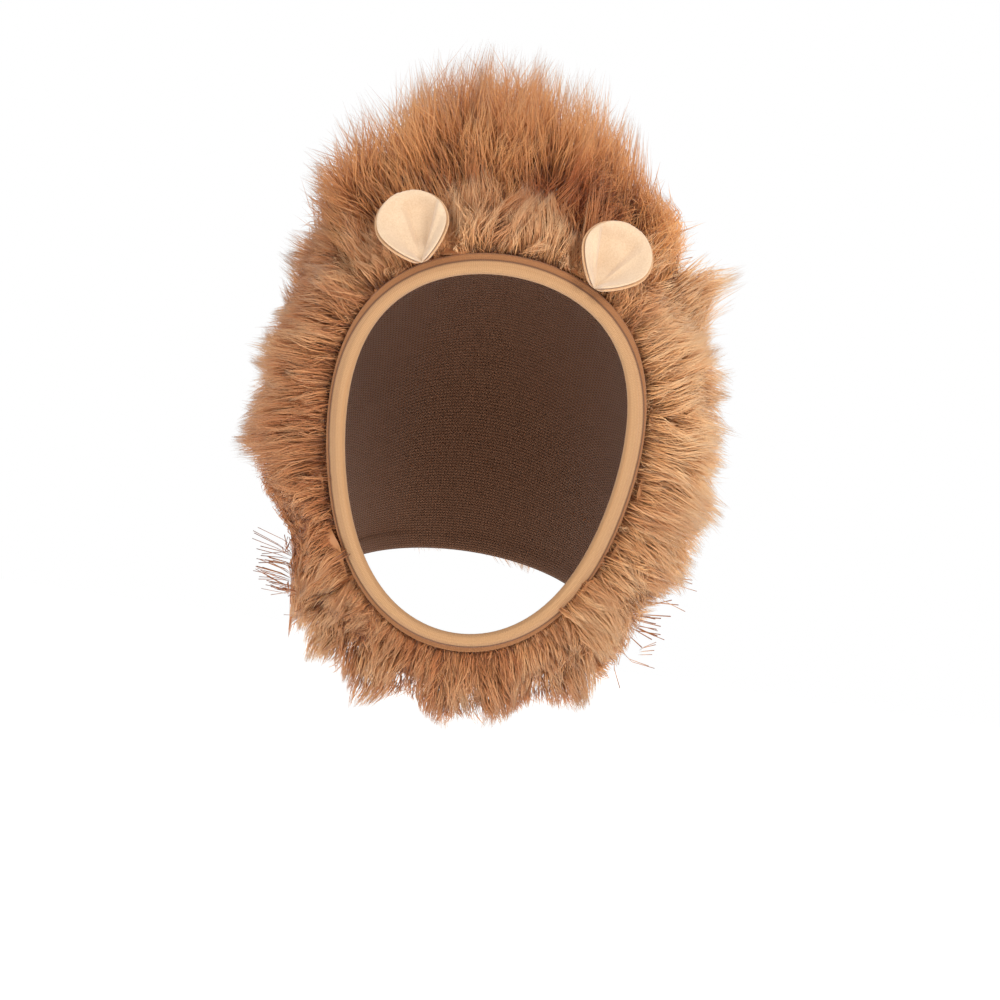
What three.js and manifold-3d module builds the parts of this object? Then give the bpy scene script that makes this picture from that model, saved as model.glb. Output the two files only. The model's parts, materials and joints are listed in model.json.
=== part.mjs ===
// A lion mane wig, medium size: a soft hood of long-pile fake fur that is pulled over the head.
// A knitted backing, sewn from five pieces, runs as a bent tube from the face opening, over the crown,
// to the neck opening. Its neck edge is turned in as a hem, a knit tape is folded over its face edge,
// and two pinched cloth ears stand on the tape's seam. Each panel of fur is a dense mass of pile that
// ends in locks. Millimetres, +Z up, the face opening towards -Y. The origin is the top of the crown's
// inside.
import * as THREE from "three";
import { mergeVertices } from "three/addons/utils/BufferGeometryUtils.js";
import Module from "manifold-3d";

const wasm = await Module();
wasm.setup();

// The hood's inner size
const FACE_WIDTH = 128; // the face opening, across
const FACE_HEIGHT = 166; // the face opening, from brow to throat
const FACE_PITCH = 15; // degrees that the face opening leans, brow forward
const BROW_REACH = 73; // the brow edge, ahead of the crown
const BROW_DROP = 20; // the brow edge, below the crown
const HEAD_WIDTH = 145; // the widest part of the hood
const NAPE_REACH = 98; // the back of the head, behind the crown
const NAPE_DROP = 143; // the neck edge at the nape, below the crown
const NECK_WIDTH = 130; // the neck opening, across
const THROAT_BAND = 34; // the strip under the chin, from the face edge to the neck edge
const THROAT_SLOPE = 28; // degrees that this strip falls towards the back

// Cloth
const BACKING_WALL = 2; // the knitted backing of the fur
const SEAM_GAP = 0.35; // between pieces that are sewn together
const TAPE_WIDTH = 6; // the face binding's outer leg
const TAPE_WALL = 1.3; // the face binding's cloth
const RIDGE_WIDTH = 2; // the turned seam along the binding's outer edge
const RIDGE_RISE = 1.1; // how far this seam stands up
const HEM_WIDTH = 8; // the neck edge that is turned in
const HEM_WALL = 1.2; // how much thicker the turned edge is
const HEM_FOLD = 0.12; // the share of the hem over which it thickens

// Fur
const CREST_PILE = 69; // hair on the crown, from the backing to the tip
const BROW_PILE = 29; // hair between the ears
const MANE_PILE = 39; // hair on the cheeks and the nape
const THROAT_PILE = 34; // hair under the chin
const LOCK_PITCH = 27; // from one lock to the next
const LOCK_SINK = 5; // how deep a lock is rooted in the mass of the pile
const LOCK_TURN = 16; // degrees that a lock strays from the way that the fur is combed
const PANEL_GAP = 0.5; // between two panels of fur
const FUR_CLEARANCE = 0.4; // between a panel and the locks of the next one

// Ears
const EAR_WIDTH = 31;
const EAR_HEIGHT = 32;
const EAR_PLACE = 26; // degrees from the middle of the brow, round the face opening
const EAR_CLOTH = 1.4; // each of an ear's two layers
const EAR_CUP = 8; // how far an ear's sides are folded forward at its pinched foot
const EAR_CREASE = 2.2; // depth of the two creases that run up from the foot
const EAR_FOOT = 6; // the width of the pinched foot
const EAR_BACK_MARGIN = 0.9; // how far the tan back layer shows past the cream front layer
const EAR_CLEARANCE = 0.5; // between an ear and the fur behind it

// How finely the surfaces are cut
const NOSE_TURNS = [70, 0, -70]; // degrees round the tape's fold over the face edge
const AROUND = 32; // steps round the hood
const ROWS = 9; // strips from the face edge to the neck edge
const EAR_STEPS = 8;

// Sections of the hood, from the face edge to the neck edge. ahead and browDrop are shares of
// BROW_REACH and BROW_DROP, behind and napeDrop of NAPE_REACH and NAPE_DROP, throat of THROAT_BAND.
// swell is the share of the way from the face's width to the head's, taper from the head's to the
// neck's, egg the share by which a section is wider above its middle, and square the share by which it
// is fuller between its middle and its ends.
const SECTIONS = [
  { ahead: 1.0, browDrop: 1.0, behind: 0.0, napeDrop: 0.0, throat: 0.0, swell: 0.0, taper: 0.0, egg: 0.15, square: 0.04 },
  { ahead: 0.9, browDrop: 0.62, behind: 0.0, napeDrop: 0.0, throat: 0.25, swell: 0.5, taper: 0.0, egg: 0.13, square: 0.035 },
  { ahead: 0.52, browDrop: 0.22, behind: 0.0, napeDrop: 0.0, throat: 0.45, swell: 0.85, taper: 0.0, egg: 0.09, square: 0.02 },
  { ahead: 0.0, browDrop: 0.0, behind: 0.0, napeDrop: 0.0, throat: 0.6, swell: 1.0, taper: 0.0, egg: 0.05, square: 0.008 },
  { ahead: 0.0, browDrop: 0.0, behind: 0.46, napeDrop: 0.07, throat: 0.72, swell: 1.0, taper: 0.0, egg: 0.04, square: 0 },
  { ahead: 0.0, browDrop: 0.0, behind: 0.83, napeDrop: 0.31, throat: 0.82, swell: 1.0, taper: 0.25, egg: 0.02, square: 0 },
  { ahead: 0.0, browDrop: 0.0, behind: 0.98, napeDrop: 0.66, throat: 0.92, swell: 1.0, taper: 0.7, egg: 0.0, square: 0 },
  { ahead: 0.0, browDrop: 0.0, behind: 1.0, napeDrop: 1.0, throat: 1.0, swell: 1.0, taper: 1.0, egg: 0.0, square: 0 },
];

// How the fur is combed along the hood's top, side and underside. row counts the strips of the hood,
// pile is the hair's length, mass the share of it that stands as a dense mass, and forward, fall and
// across bend the hair from straight out towards -Y, -Z and +X.
const COMB = {
  top: [
    { row: 1, pile: BROW_PILE, mass: 0.14, forward: 0.1, fall: 0.0, across: 0.0 },
    { row: 1.7, pile: BROW_PILE, mass: 0.5, forward: 0.15, fall: -0.1, across: 0.0 },
    { row: 2.5, pile: CREST_PILE, mass: 0.54, forward: 0.25, fall: -0.5, across: -0.3 },
    { row: 3.6, pile: CREST_PILE, mass: 0.62, forward: 0.05, fall: -0.6, across: -0.36 },
    { row: 5, pile: CREST_PILE * 0.8, mass: 0.58, forward: -0.2, fall: -0.2, across: -0.2 },
    { row: 6.5, pile: MANE_PILE, mass: 0.58, forward: 0.0, fall: 0.3, across: 0.0 },
    { row: 8, pile: MANE_PILE, mass: 0.2, forward: 0.0, fall: 0.9, across: 0.0 },
  ],
  side: [
    { row: 1, pile: MANE_PILE, mass: 0.1, forward: -0.1, fall: 0.0, across: 0.0 },
    { row: 2, pile: MANE_PILE, mass: 0.55, forward: -0.2, fall: 0.02, across: 0.0 },
    { row: 4, pile: MANE_PILE, mass: 0.6, forward: -0.6, fall: 0.1, across: 0.0 },
    { row: 6.5, pile: MANE_PILE, mass: 0.58, forward: -0.7, fall: 0.3, across: 0.0 },
    { row: 8, pile: MANE_PILE, mass: 0.2, forward: -0.5, fall: 0.6, across: 0.0 },
  ],
  under: [
    { row: 1, pile: THROAT_PILE, mass: 0.12, forward: 0.0, fall: 0.35, across: 0.0 },
    { row: 3, pile: THROAT_PILE, mass: 0.5, forward: 0.0, fall: 0.5, across: 0.0 },
    { row: 6.5, pile: THROAT_PILE, mass: 0.5, forward: 0.0, fall: 0.6, across: 0.0 },
    { row: 8, pile: THROAT_PILE, mass: 0.2, forward: 0.0, fall: 0.7, across: 0.0 },
  ],
};
const TOP_ENDS = [34, 66]; // degrees from the top over which the top's comb turns into the side's
const UNDER_STARTS = [112, 152]; // and the side's into the underside's

// The panels that the fur is cut in, from one row of the hood to another and between two of its steps
// round, which are counted from the middle of the top. spacing is the distance between a panel's locks,
// as a share of LOCK_PITCH, and their width follows it.
const PANELS = [
  { name: "brow_fur", rows: [1, 2], steps: [-4, 4], spacing: 1 },
  { name: "crest_fur", rows: [2, 5], steps: [-4, 4], spacing: 1.05 },
  { name: "nape_fur", rows: [5, 8], steps: [-12, 12], spacing: 1.74 },
  { name: "left_cheek_fur", rows: [1, 5], steps: [-12, -4], spacing: 1.2 },
  { name: "right_cheek_fur", rows: [1, 5], steps: [4, 12], spacing: 1.2 },
  { name: "throat_fur", rows: [1, 8], steps: [12, 20], spacing: 1 },
];

// The pieces of knitted cloth that the hood's backing is sewn from, in the same rows and steps
const CLOTHS = [
  { name: "crown_backing", rows: [0, 5], steps: [-4, 4] },
  { name: "left_cheek_backing", rows: [0, 5], steps: [-12, -4] },
  { name: "right_cheek_backing", rows: [0, 5], steps: [4, 12] },
  { name: "throat_backing", rows: [0, 9], steps: [12, 20] },
  { name: "nape_backing", rows: [5, 9], steps: [-12, 12] },
];

// The two ears, as the viewer sees them: which way from the brow, and the degrees that each leans out
const EARS = [
  { side: "left", way: -1, lean: 22 },
  { side: "right", way: 1, lean: 26 },
];
const EAR_TILT = 12; // degrees that an ear's tip leans back

const rad = THREE.MathUtils.degToRad;
const lerp = THREE.MathUtils.lerp;
const ACROSS = new THREE.Vector3(1, 0, 0);
const FORWARD = new THREE.Vector3(0, -1, 0);
const DOWN = new THREE.Vector3(0, 0, -1);

// A number from 0 to 1 that looks random but is the same each time for the same seeds.
function chance(...seeds) {
  const mixed = seeds.reduce((sum, seed, i) => sum + (seed + 1.7) * (12.9898 + 65.243 * i), 0);
  const wave = Math.sin(mixed) * 43758.5453;
  return wave - Math.floor(wave);
}

// A curve through the table's values at evenly spaced places, read at a share of its length.
function alongSections(key, share) {
  const place = THREE.MathUtils.clamp(share, 0, 1) * (SECTIONS.length - 1);
  const i = Math.min(Math.floor(place), SECTIONS.length - 2);
  const at = (k) => SECTIONS[THREE.MathUtils.clamp(k, 0, SECTIONS.length - 1)][key];
  const f = place - i;
  const slopeHere = (at(i + 1) - at(i - 1)) / 2;
  const slopeNext = (at(i + 2) - at(i)) / 2;
  const h = f * f * (3 - 2 * f);
  return lerp(at(i), at(i + 1), h) + slopeHere * f * (1 - f) ** 2 - slopeNext * f * f * (1 - f);
}

// A column of a comb table, read at a row of the hood.
function combAt(line, key, row) {
  const next = line.findIndex((entry) => entry.row > row);
  if (next === 0) return line[0][key];
  if (next < 0) return line[line.length - 1][key];
  const [a, b] = [line[next - 1], line[next]];
  return lerp(a[key], b[key], THREE.MathUtils.smoothstep(row, a.row, b.row));
}

// The hood's inner surface. share runs from the face edge, 0, to the neck edge, 1, and angle from the
// middle of the top, 0, through the viewer's right, 90, to the throat, 180.
function innerPoint(share, angle) {
  const value = (key) => alongSections(key, share);
  const top = new THREE.Vector3(
    0,
    NAPE_REACH * value("behind") - BROW_REACH * value("ahead"),
    -NAPE_DROP * value("napeDrop") - BROW_DROP * value("browDrop"),
  );
  const band = THROAT_BAND * value("throat");
  const bottom = new THREE.Vector3(
    0,
    -BROW_REACH + FACE_HEIGHT * Math.sin(rad(FACE_PITCH)) + band * Math.cos(rad(THROAT_SLOPE)),
    -BROW_DROP - FACE_HEIGHT * Math.cos(rad(FACE_PITCH)) - band * Math.sin(rad(THROAT_SLOPE)),
  );
  const width =
    FACE_WIDTH + (HEAD_WIDTH - FACE_WIDTH) * value("swell") + (NECK_WIDTH - HEAD_WIDTH) * value("taper");
  const height = Math.cos(rad(angle));
  const reach = Math.sin(rad(angle)) * (1 + value("egg") * height) + Math.sin(rad(3 * angle)) * value("square");
  const middle = top.clone().add(bottom).multiplyScalar(0.5);
  return middle.add(top.sub(bottom).multiplyScalar(height / 2)).addScaledVector(ACROSS, (width / 2) * reach);
}

// The direction straight out of the hood at a place on it.
function outward(share, angle) {
  const step = 0.004;
  const from = Math.min(Math.max(share, step), 1 - step);
  const along = innerPoint(from + step, angle).sub(innerPoint(from - step, angle));
  const round = innerPoint(from, angle + 1).sub(innerPoint(from, angle - 1));
  return round.cross(along).normalize();
}

function hoodPoint(share, angle, height) {
  return innerPoint(share, angle).addScaledVector(outward(share, angle), height);
}

// The share of the way along the hood that lies a distance from its face edge, or from its neck edge.
function shareFrom(edge, angle, distance) {
  const steps = 240;
  let walked = 0;
  let last = innerPoint(edge, angle);
  for (let i = 1; i <= steps; i++) {
    const share = Math.abs(edge - i / steps);
    const point = innerPoint(share, angle);
    const step = point.distanceTo(last);
    if (walked + step >= distance) return Math.abs(edge - (i - 1 + (distance - walked) / step) / steps);
    walked += step;
    last = point;
  }
  return 1 - edge;
}

// Row 0 is the face edge and row ROWS the neck edge. The binding ends at row 1 and the hem starts at
// row ROWS - 1, and the rows between are evenly spaced.
function shareOfRow(row, angle) {
  const first = shareFrom(0, angle, TAPE_WIDTH + SEAM_GAP);
  const last = shareFrom(1, angle, HEM_WIDTH);
  if (row < 1) return first * row;
  if (row > ROWS - 1) return lerp(last, 1, row - ROWS + 1);
  return lerp(first, last, (row - 1) / (ROWS - 2));
}

// How long one row of the hood is at a place.
function rowLength(row, angle) {
  const [before, after] = [row - 0.1, row + 0.1].map((r) => innerPoint(shareOfRow(r, angle), angle));
  return after.distanceTo(before) / 0.2;
}

// How much of the top's, the side's and the underside's comb a place has.
function combWeights(angle) {
  const fromTop = Math.abs(THREE.MathUtils.euclideanModulo(angle + 180, 360) - 180);
  const top = 1 - THREE.MathUtils.smoothstep(fromTop, ...TOP_ENDS);
  const under = THREE.MathUtils.smoothstep(fromTop, ...UNDER_STARTS);
  return { top, under, side: 1 - top - under };
}

function comb(key, row, angle) {
  const weights = combWeights(angle);
  return Object.keys(COMB).reduce((sum, line) => sum + weights[line] * combAt(COMB[line], key, row), 0);
}

// The way that the hair points at a place on the hood.
function hairDirection(row, angle) {
  return outward(shareOfRow(row, angle), angle)
    .addScaledVector(FORWARD, comb("forward", row, angle))
    .addScaledVector(DOWN, comb("fall", row, angle))
    .addScaledVector(ACROSS, comb("across", row, angle))
    .normalize();
}

// A point in the pile, at a depth from 0 at the backing to 1 at the top of the dense mass.
function pilePoint(row, angle, depth, extra = 0) {
  const foot = hoodPoint(shareOfRow(row, angle), angle, BACKING_WALL + SEAM_GAP);
  const mass = comb("pile", row, angle) * comb("mass", row, angle);
  return foot.addScaledVector(hairDirection(row, angle), mass * depth + extra);
}

// A geometry from points and triangles, with doubled points merged.
function geometryOf(points, triangles) {
  const positions = new Float32Array(points.flatMap((p) => p.toArray()));
  const geometry = new THREE.BufferGeometry();
  geometry.setAttribute("position", new THREE.BufferAttribute(positions, 3));
  geometry.setIndex(triangles);
  return mergeVertices(geometry, 1e-4);
}

// Skins a row of rings that all have the same number of points. The ends are fans, or the last ring
// joins the first.
function skin(rings, joined = false) {
  const count = rings[0].length;
  const points = rings.flat();
  const triangles = [];
  const bands = joined ? rings.length : rings.length - 1;
  for (let i = 0; i < bands; i++) {
    const here = i * count;
    const there = ((i + 1) % rings.length) * count;
    for (let j = 0; j < count; j++) {
      const next = (j + 1) % count;
      triangles.push(here + j, there + j, there + next, here + j, there + next, here + next);
    }
  }
  if (!joined) {
    const end = (rings.length - 1) * count;
    for (let j = 1; j < count - 1; j++) {
      triangles.push(0, j, j + 1, end, end + j + 1, end + j);
    }
  }
  return geometryOf(points, triangles);
}

// A closed sheet between two surfaces, each given as a function of a step along and a step across.
function sheet(along, across, top, under) {
  const points = [];
  for (const surface of [top, under]) {
    for (let i = 0; i <= along; i++) {
      for (let j = 0; j <= across; j++) {
        points.push(surface(i, j));
      }
    }
  }
  const half = (along + 1) * (across + 1);
  const at = (i, j) => i * (across + 1) + j;
  const triangles = [];
  const quad = (a, b, c, d) => triangles.push(a, b, c, a, c, d);
  for (let i = 0; i < along; i++) {
    for (let j = 0; j < across; j++) {
      const [a, b, c, d] = [at(i, j), at(i + 1, j), at(i + 1, j + 1), at(i, j + 1)];
      quad(a, b, c, d);
      quad(half + a, half + d, half + c, half + b);
    }
  }
  for (let i = 0; i < along; i++) {
    quad(at(i, 0), half + at(i, 0), half + at(i + 1, 0), at(i + 1, 0));
    quad(at(i, across), at(i + 1, across), half + at(i + 1, across), half + at(i, across));
  }
  for (let j = 0; j < across; j++) {
    quad(at(0, j), at(0, j + 1), half + at(0, j + 1), half + at(0, j));
    quad(at(along, j), half + at(along, j), half + at(along, j + 1), at(along, j + 1));
  }
  return geometryOf(points, triangles);
}

// A closed geometry as a solid that can be joined and cut, with its faces turned outwards.
function solidOf(geometry) {
  const triVerts = new Uint32Array(geometry.index.array);
  const vertProperties = new Float32Array(geometry.attributes.position.array);
  const solid = new wasm.Manifold(new wasm.Mesh({ numProp: 3, vertProperties, triVerts }));
  if (solid.volume() > 0) return solid;
  for (let i = 0; i < triVerts.length; i += 3) {
    [triVerts[i + 1], triVerts[i + 2]] = [triVerts[i + 2], triVerts[i + 1]];
  }
  return new wasm.Manifold(new wasm.Mesh({ numProp: 3, vertProperties, triVerts }));
}

// The largest body of a solid, because a cut may leave crumbs.
function mainBody(solid) {
  return solid.decompose().reduce((most, body) => (body.volume() > most.volume() ? body : most));
}

function geometryFrom(solid) {
  const mesh = solid.getMesh();
  const geometry = new THREE.BufferGeometry();
  geometry.setAttribute("position", new THREE.BufferAttribute(new Float32Array(mesh.vertProperties), 3));
  geometry.setIndex(new THREE.BufferAttribute(new Uint32Array(mesh.triVerts), 1));
  return geometry;
}

function angleOfStep(step) {
  return (360 * step) / AROUND;
}

// The rows and angles of a panel, whose border is drawn in by an inset except at the hood's own edges.
function placesIn(panel, inset) {
  const [firstRow, lastRow] = panel.rows;
  const [firstAngle, lastAngle] = panel.steps.map(angleOfStep);
  const turn = THREE.MathUtils.radToDeg(inset / (HEAD_WIDTH / 2));
  return {
    angleAt: (j) => THREE.MathUtils.clamp(firstAngle + angleOfStep(j), firstAngle + turn, lastAngle - turn),
    rowAt: (row, angle) =>
      THREE.MathUtils.clamp(
        row,
        firstRow > 0 ? firstRow + inset / rowLength(firstRow, angle) : 0,
        lastRow < ROWS ? lastRow - inset / rowLength(lastRow, angle) : ROWS,
      ),
  };
}

// The lines of a piece of cloth that run round the hood, each with the height of its inner face.
function clothLines([firstRow, lastRow]) {
  const lines = Array.from({ length: lastRow - firstRow + 1 }, (_, i) => ({ row: firstRow + i, inner: 0 }));
  if (lastRow < ROWS) return lines;
  lines.pop();
  return [...lines, { row: ROWS - 1 + HEM_FOLD, inner: -HEM_WALL }, { row: ROWS, inner: -HEM_WALL }];
}

// One piece of the knitted cloth that carries everything.
function backingSolid(piece) {
  const { rowAt, angleAt } = placesIn(piece, SEAM_GAP / 2);
  const lines = clothLines(piece.rows);
  const place = (height) => (i, j) => {
    const angle = angleAt(j);
    return hoodPoint(shareOfRow(rowAt(lines[i].row, angle), angle), angle, height(lines[i]));
  };
  const [firstStep, lastStep] = piece.steps;
  const outside = place(() => BACKING_WALL);
  const inside = place((line) => line.inner);
  return solidOf(sheet(lines.length - 1, lastStep - firstStep, outside, inside));
}

function ringAt(row, height) {
  return Array.from({ length: AROUND }, (_, step) => {
    const angle = angleOfStep(step);
    return hoodPoint(shareOfRow(row, angle), angle, height);
  });
}

// The corners of the folded tape, as a distance back from the face edge and a height over the backing's
// inside: the seam's ridge, the outer leg, a round nose over the edge, and the inner leg.
function tapeProfile() {
  const over = BACKING_WALL + SEAM_GAP;
  const middle = BACKING_WALL / 2;
  const nose = NOSE_TURNS.map((turn) => ({
    back: -(SEAM_GAP + TAPE_WALL) * Math.cos(rad(turn)),
    height: middle + (middle + SEAM_GAP + TAPE_WALL) * Math.sin(rad(turn)),
  }));
  return [
    { back: TAPE_WIDTH, height: over + TAPE_WALL + RIDGE_RISE / 2 },
    { back: TAPE_WIDTH - RIDGE_WIDTH / 2, height: over + TAPE_WALL + RIDGE_RISE },
    { back: TAPE_WIDTH - RIDGE_WIDTH, height: over + TAPE_WALL },
    ...nose,
    { back: TAPE_WIDTH, height: -SEAM_GAP - TAPE_WALL },
    { back: TAPE_WIDTH, height: -SEAM_GAP },
    { back: -SEAM_GAP, height: -SEAM_GAP },
    { back: -SEAM_GAP, height: over },
    { back: TAPE_WIDTH, height: over },
  ];
}

// A ring a distance back from the face edge, 0, or the neck edge, 1, or past it where back is negative.
function ringFrom(edge, back, height) {
  return Array.from({ length: AROUND }, (_, step) => {
    const angle = angleOfStep(step);
    const past = innerPoint(edge, angle).sub(innerPoint(shareFrom(edge, angle, 1), angle)).normalize();
    const point = hoodPoint(shareFrom(edge, angle, Math.max(back, 0)), angle, height);
    return point.addScaledVector(past, Math.max(-back, 0));
  });
}

function bindingSolid() {
  return solidOf(skin(tapeProfile().map(({ back, height }) => ringFrom(0, back, height)), true));
}

// The middle of an ear's cloth in its own frame: x across, y back, z up from the pinched foot. u runs
// from one side, -1, to the other, 1, and v from the foot, 0, to the tip, 1.
const EAR_WIDEST = 0.55; // the share of an ear's height where it is widest
const EAR_TIP_CUT = 78; // degrees of the round tip that are modelled
const EAR_SPREAD = 0.9; // the power by which an ear widens from its foot
const EAR_CUP_ACROSS = 1.6; // the powers by which its fold fades towards its middle
const EAR_CUP_UP = 0.8; // and towards its tip
const EAR_CREASES = 0.42; // where the creases run, as a share from the middle to the side
const EAR_CREASE_WIDTH = 0.13; // half a crease's width, as a share of the ear's
const EAR_CREASE_END = 0.87; // where the creases fade out, as a share of the ear's height
function earPoint(u, v, margin) {
  const round = v > EAR_WIDEST;
  const turn = round ? rad(EAR_TIP_CUT) * ((v - EAR_WIDEST) / (1 - EAR_WIDEST)) : 0;
  const half = EAR_WIDTH / 2 + margin;
  const foot = EAR_FOOT / 2;
  const spread = Math.sin(((v / EAR_WIDEST) * Math.PI) / 2) ** EAR_SPREAD;
  const reach = round ? half * Math.cos(turn) : foot + (half - foot) * spread;
  const rise = round
    ? EAR_HEIGHT * (EAR_WIDEST + (1 - EAR_WIDEST) * Math.sin(turn)) + margin * Math.sin(turn)
    : EAR_HEIGHT * v;
  const cup = EAR_CUP * Math.abs(u) ** EAR_CUP_ACROSS * (1 - v) ** EAR_CUP_UP;
  const crease = EAR_CREASE * Math.exp(-(((Math.abs(u) - EAR_CREASES) / EAR_CREASE_WIDTH) ** 2));
  const creaseFade = Math.sin(Math.PI * Math.min(1, v / EAR_CREASE_END)) ** EAR_SPREAD;
  return new THREE.Vector3(reach * u, crease * creaseFade - cup, rise);
}

function earNormal(u, v, margin) {
  const step = 0.02;
  const low = Math.min(Math.max(v, step), 1 - step);
  const acrossEar = earPoint(u + step, low, margin).sub(earPoint(u - step, low, margin));
  const upEar = earPoint(u, low + step, margin).sub(earPoint(u, low - step, margin));
  return acrossEar.cross(upEar).normalize();
}

// One layer of an ear, from one height in front of its middle to another.
function earLayer(from, to, margin) {
  const place = (height) => (i, j) => {
    const [u, v] = [(2 * j) / EAR_STEPS - 1, i / EAR_STEPS];
    return earPoint(u, v, margin).addScaledVector(earNormal(u, v, margin), height);
  };
  return sheet(EAR_STEPS, EAR_STEPS, place(to), place(from));
}

// Where an ear's foot stands: on the binding's seam, turned to face forwards and leaned out and back.
function earPlace(ear) {
  const angle = ear.way * EAR_PLACE;
  const share = shareFrom(0, angle, TAPE_WIDTH - RIDGE_WIDTH);
  const height = BACKING_WALL + SEAM_GAP + TAPE_WALL + RIDGE_RISE + SEAM_GAP + EAR_CLOTH;
  const foot = hoodPoint(share, angle, height).addScaledVector(FORWARD, SEAM_GAP);
  const turned = new THREE.Euler(rad(-EAR_TILT), rad(ear.way * ear.lean), 0, "YXZ");
  return new THREE.Matrix4().makeRotationFromEuler(turned).setPosition(foot);
}

function earSolids(ear) {
  const place = earPlace(ear);
  const made = (layer) => solidOf(layer.applyMatrix4(place));
  return {
    front: made(earLayer(SEAM_GAP / 2, SEAM_GAP / 2 + EAR_CLOTH, 0)),
    back: made(earLayer(-SEAM_GAP / 2 - EAR_CLOTH, -SEAM_GAP / 2, EAR_BACK_MARGIN)),
    room: made(
      earLayer(
        -SEAM_GAP / 2 - EAR_CLOTH - EAR_CLEARANCE,
        SEAM_GAP / 2 + EAR_CLOTH + EAR_CLEARANCE,
        EAR_BACK_MARGIN + EAR_CLEARANCE,
      ),
    ),
  };
}

// The dense mass of one panel of fur. It stays half a PANEL_GAP inside the panel's border, and margin
// moves its border and its top outwards.
function massSolid(panel, margin) {
  const [firstRow, lastRow] = panel.rows;
  const [firstStep, lastStep] = panel.steps;
  const { rowAt, angleAt } = placesIn(panel, PANEL_GAP / 2 - margin);
  return solidOf(
    sheet(
      lastRow - firstRow,
      lastStep - firstStep,
      (i, j) => pilePoint(rowAt(firstRow + i, angleAt(j)), angleAt(j), 1, margin),
      (i, j) => pilePoint(rowAt(firstRow + i, angleAt(j)), angleAt(j), 0),
    ),
  );
}

// One lock: a tuft with five sides that tapers from its root in the pile to a point.
const LOCK_SIDES = 5;
const LOCK_RINGS = [
  { share: 0, size: 1 },
  { share: 0.5, size: 0.7 },
  { share: 1, size: 0.04 },
];
const LOCK_LENGTHS = [0.82, 1.12]; // the shortest and the longest lock, as shares of the free pile
const LOCK_WIDTHS = [0.85, 1.15]; // the thinnest and the thickest, as shares of the spacing
const LOCK_DROOP = 0.08; // how far a lock's tip sags, as a share of its length
const LOCK_WIDE = 0.48; // a lock's half width round the hood, as a share of LOCK_PITCH
const LOCK_DEEP = 0.42; // and along it
function lockSolid(row, angle, spacing, seed, margin) {
  const mass = comb("pile", row, angle) * comb("mass", row, angle);
  const sink = Math.min(LOCK_SINK, mass / 2) + margin;
  const root = pilePoint(row, angle, 1, -sink);
  const stray = new THREE.Vector3(chance(seed, 1) - 0.5, chance(seed, 2) - 0.5, chance(seed, 3) - 0.5);
  const direction = hairDirection(row, angle).addScaledVector(stray, 2 * Math.tan(rad(LOCK_TURN)));
  direction.normalize();
  const free = comb("pile", row, angle) - mass;
  const length = sink + free * lerp(...LOCK_LENGTHS, chance(seed, 4)) + margin;
  const around = innerPoint(shareOfRow(row, angle), angle + 1)
    .sub(innerPoint(shareOfRow(row, angle), angle - 1))
    .normalize();
  const side = direction.clone().cross(around).normalize();
  const pitch = LOCK_PITCH * spacing * lerp(...LOCK_WIDTHS, chance(seed, 5));
  const rings = LOCK_RINGS.map(({ share, size }) =>
    Array.from({ length: LOCK_SIDES }, (_, i) => {
      const turn = (2 * Math.PI * (i + chance(seed, 6))) / LOCK_SIDES;
      return root
        .clone()
        .addScaledVector(direction, length * share)
        .addScaledVector(DOWN, LOCK_DROOP * length * share * share)
        .addScaledVector(around, (pitch * LOCK_WIDE * size + margin) * Math.cos(turn))
        .addScaledVector(side, (pitch * LOCK_DEEP * size + margin) * Math.sin(turn));
    }),
  );
  return solidOf(skin(rings));
}

// The places of a panel's locks, in rows about a pitch apart that are staggered.
const LOCK_SHIFTS = [0.62, 0.38]; // where the locks of even and odd rows stand in their columns
function lockPlaces(panel) {
  const [firstRow, lastRow] = panel.rows;
  const [firstAngle, lastAngle] = panel.steps.map(angleOfStep);
  const middle = (firstAngle + lastAngle) / 2;
  const top = (row, angle) => pilePoint(row, angle, 1);
  const pitch = LOCK_PITCH * panel.spacing;
  const rows = Math.max(1, Math.round(top(firstRow, middle).distanceTo(top(lastRow, middle)) / pitch));
  const places = [];
  for (let i = 0; i < rows; i++) {
    const row = lerp(firstRow, lastRow, (i + 0.5) / rows);
    const wide = top(row, firstAngle).distanceTo(top(row, middle)) * 2;
    const columns = Math.max(2, Math.round(wide / pitch));
    for (let j = 0; j < columns; j++) {
      const across = (j + LOCK_SHIFTS[i % 2]) / columns;
      places.push({ row, angle: lerp(firstAngle, lastAngle, across) });
    }
  }
  return places;
}

// A panel's fur, kept off what is taken. With a margin it is the room that the panel takes up.
const SEEDS_PER_PANEL = 100;
function panelSolid(panel, index, taken, margin = 0) {
  const locks = lockPlaces(panel).map(({ row, angle }, i) =>
    lockSolid(row, angle, panel.spacing, index * SEEDS_PER_PANEL + i, margin),
  );
  const fur = locks.reduce((all, lock) => all.add(lock), massSolid(panel, margin));
  return taken.reduce((left, solid) => left.subtract(solid), fur);
}

// The room that the backing and its binding take up, from inside the hood to the foot of the pile.
const FOOT_SHARE = 0.9; // where the room ends in the gap under the pile
function clothRoom() {
  const foot = BACKING_WALL + SEAM_GAP * FOOT_SHARE;
  const inside = -LOCK_PITCH / 2;
  const tape = BACKING_WALL + SEAM_GAP + TAPE_WALL + RIDGE_RISE + SEAM_GAP;
  const ahead = -TAPE_WALL - 2 * SEAM_GAP;
  const rings = [ringFrom(0, ahead, inside), ringFrom(0, ahead, tape), ringAt(1, tape)];
  for (let row = 1; row <= ROWS; row++) {
    rings.push(ringAt(row, foot));
  }
  rings.push(ringFrom(1, -SEAM_GAP, foot), ringFrom(1, -SEAM_GAP, inside));
  for (let row = ROWS; row > 0; row--) {
    rings.push(ringAt(row, inside));
  }
  return solidOf(skin(rings, true));
}

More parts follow.
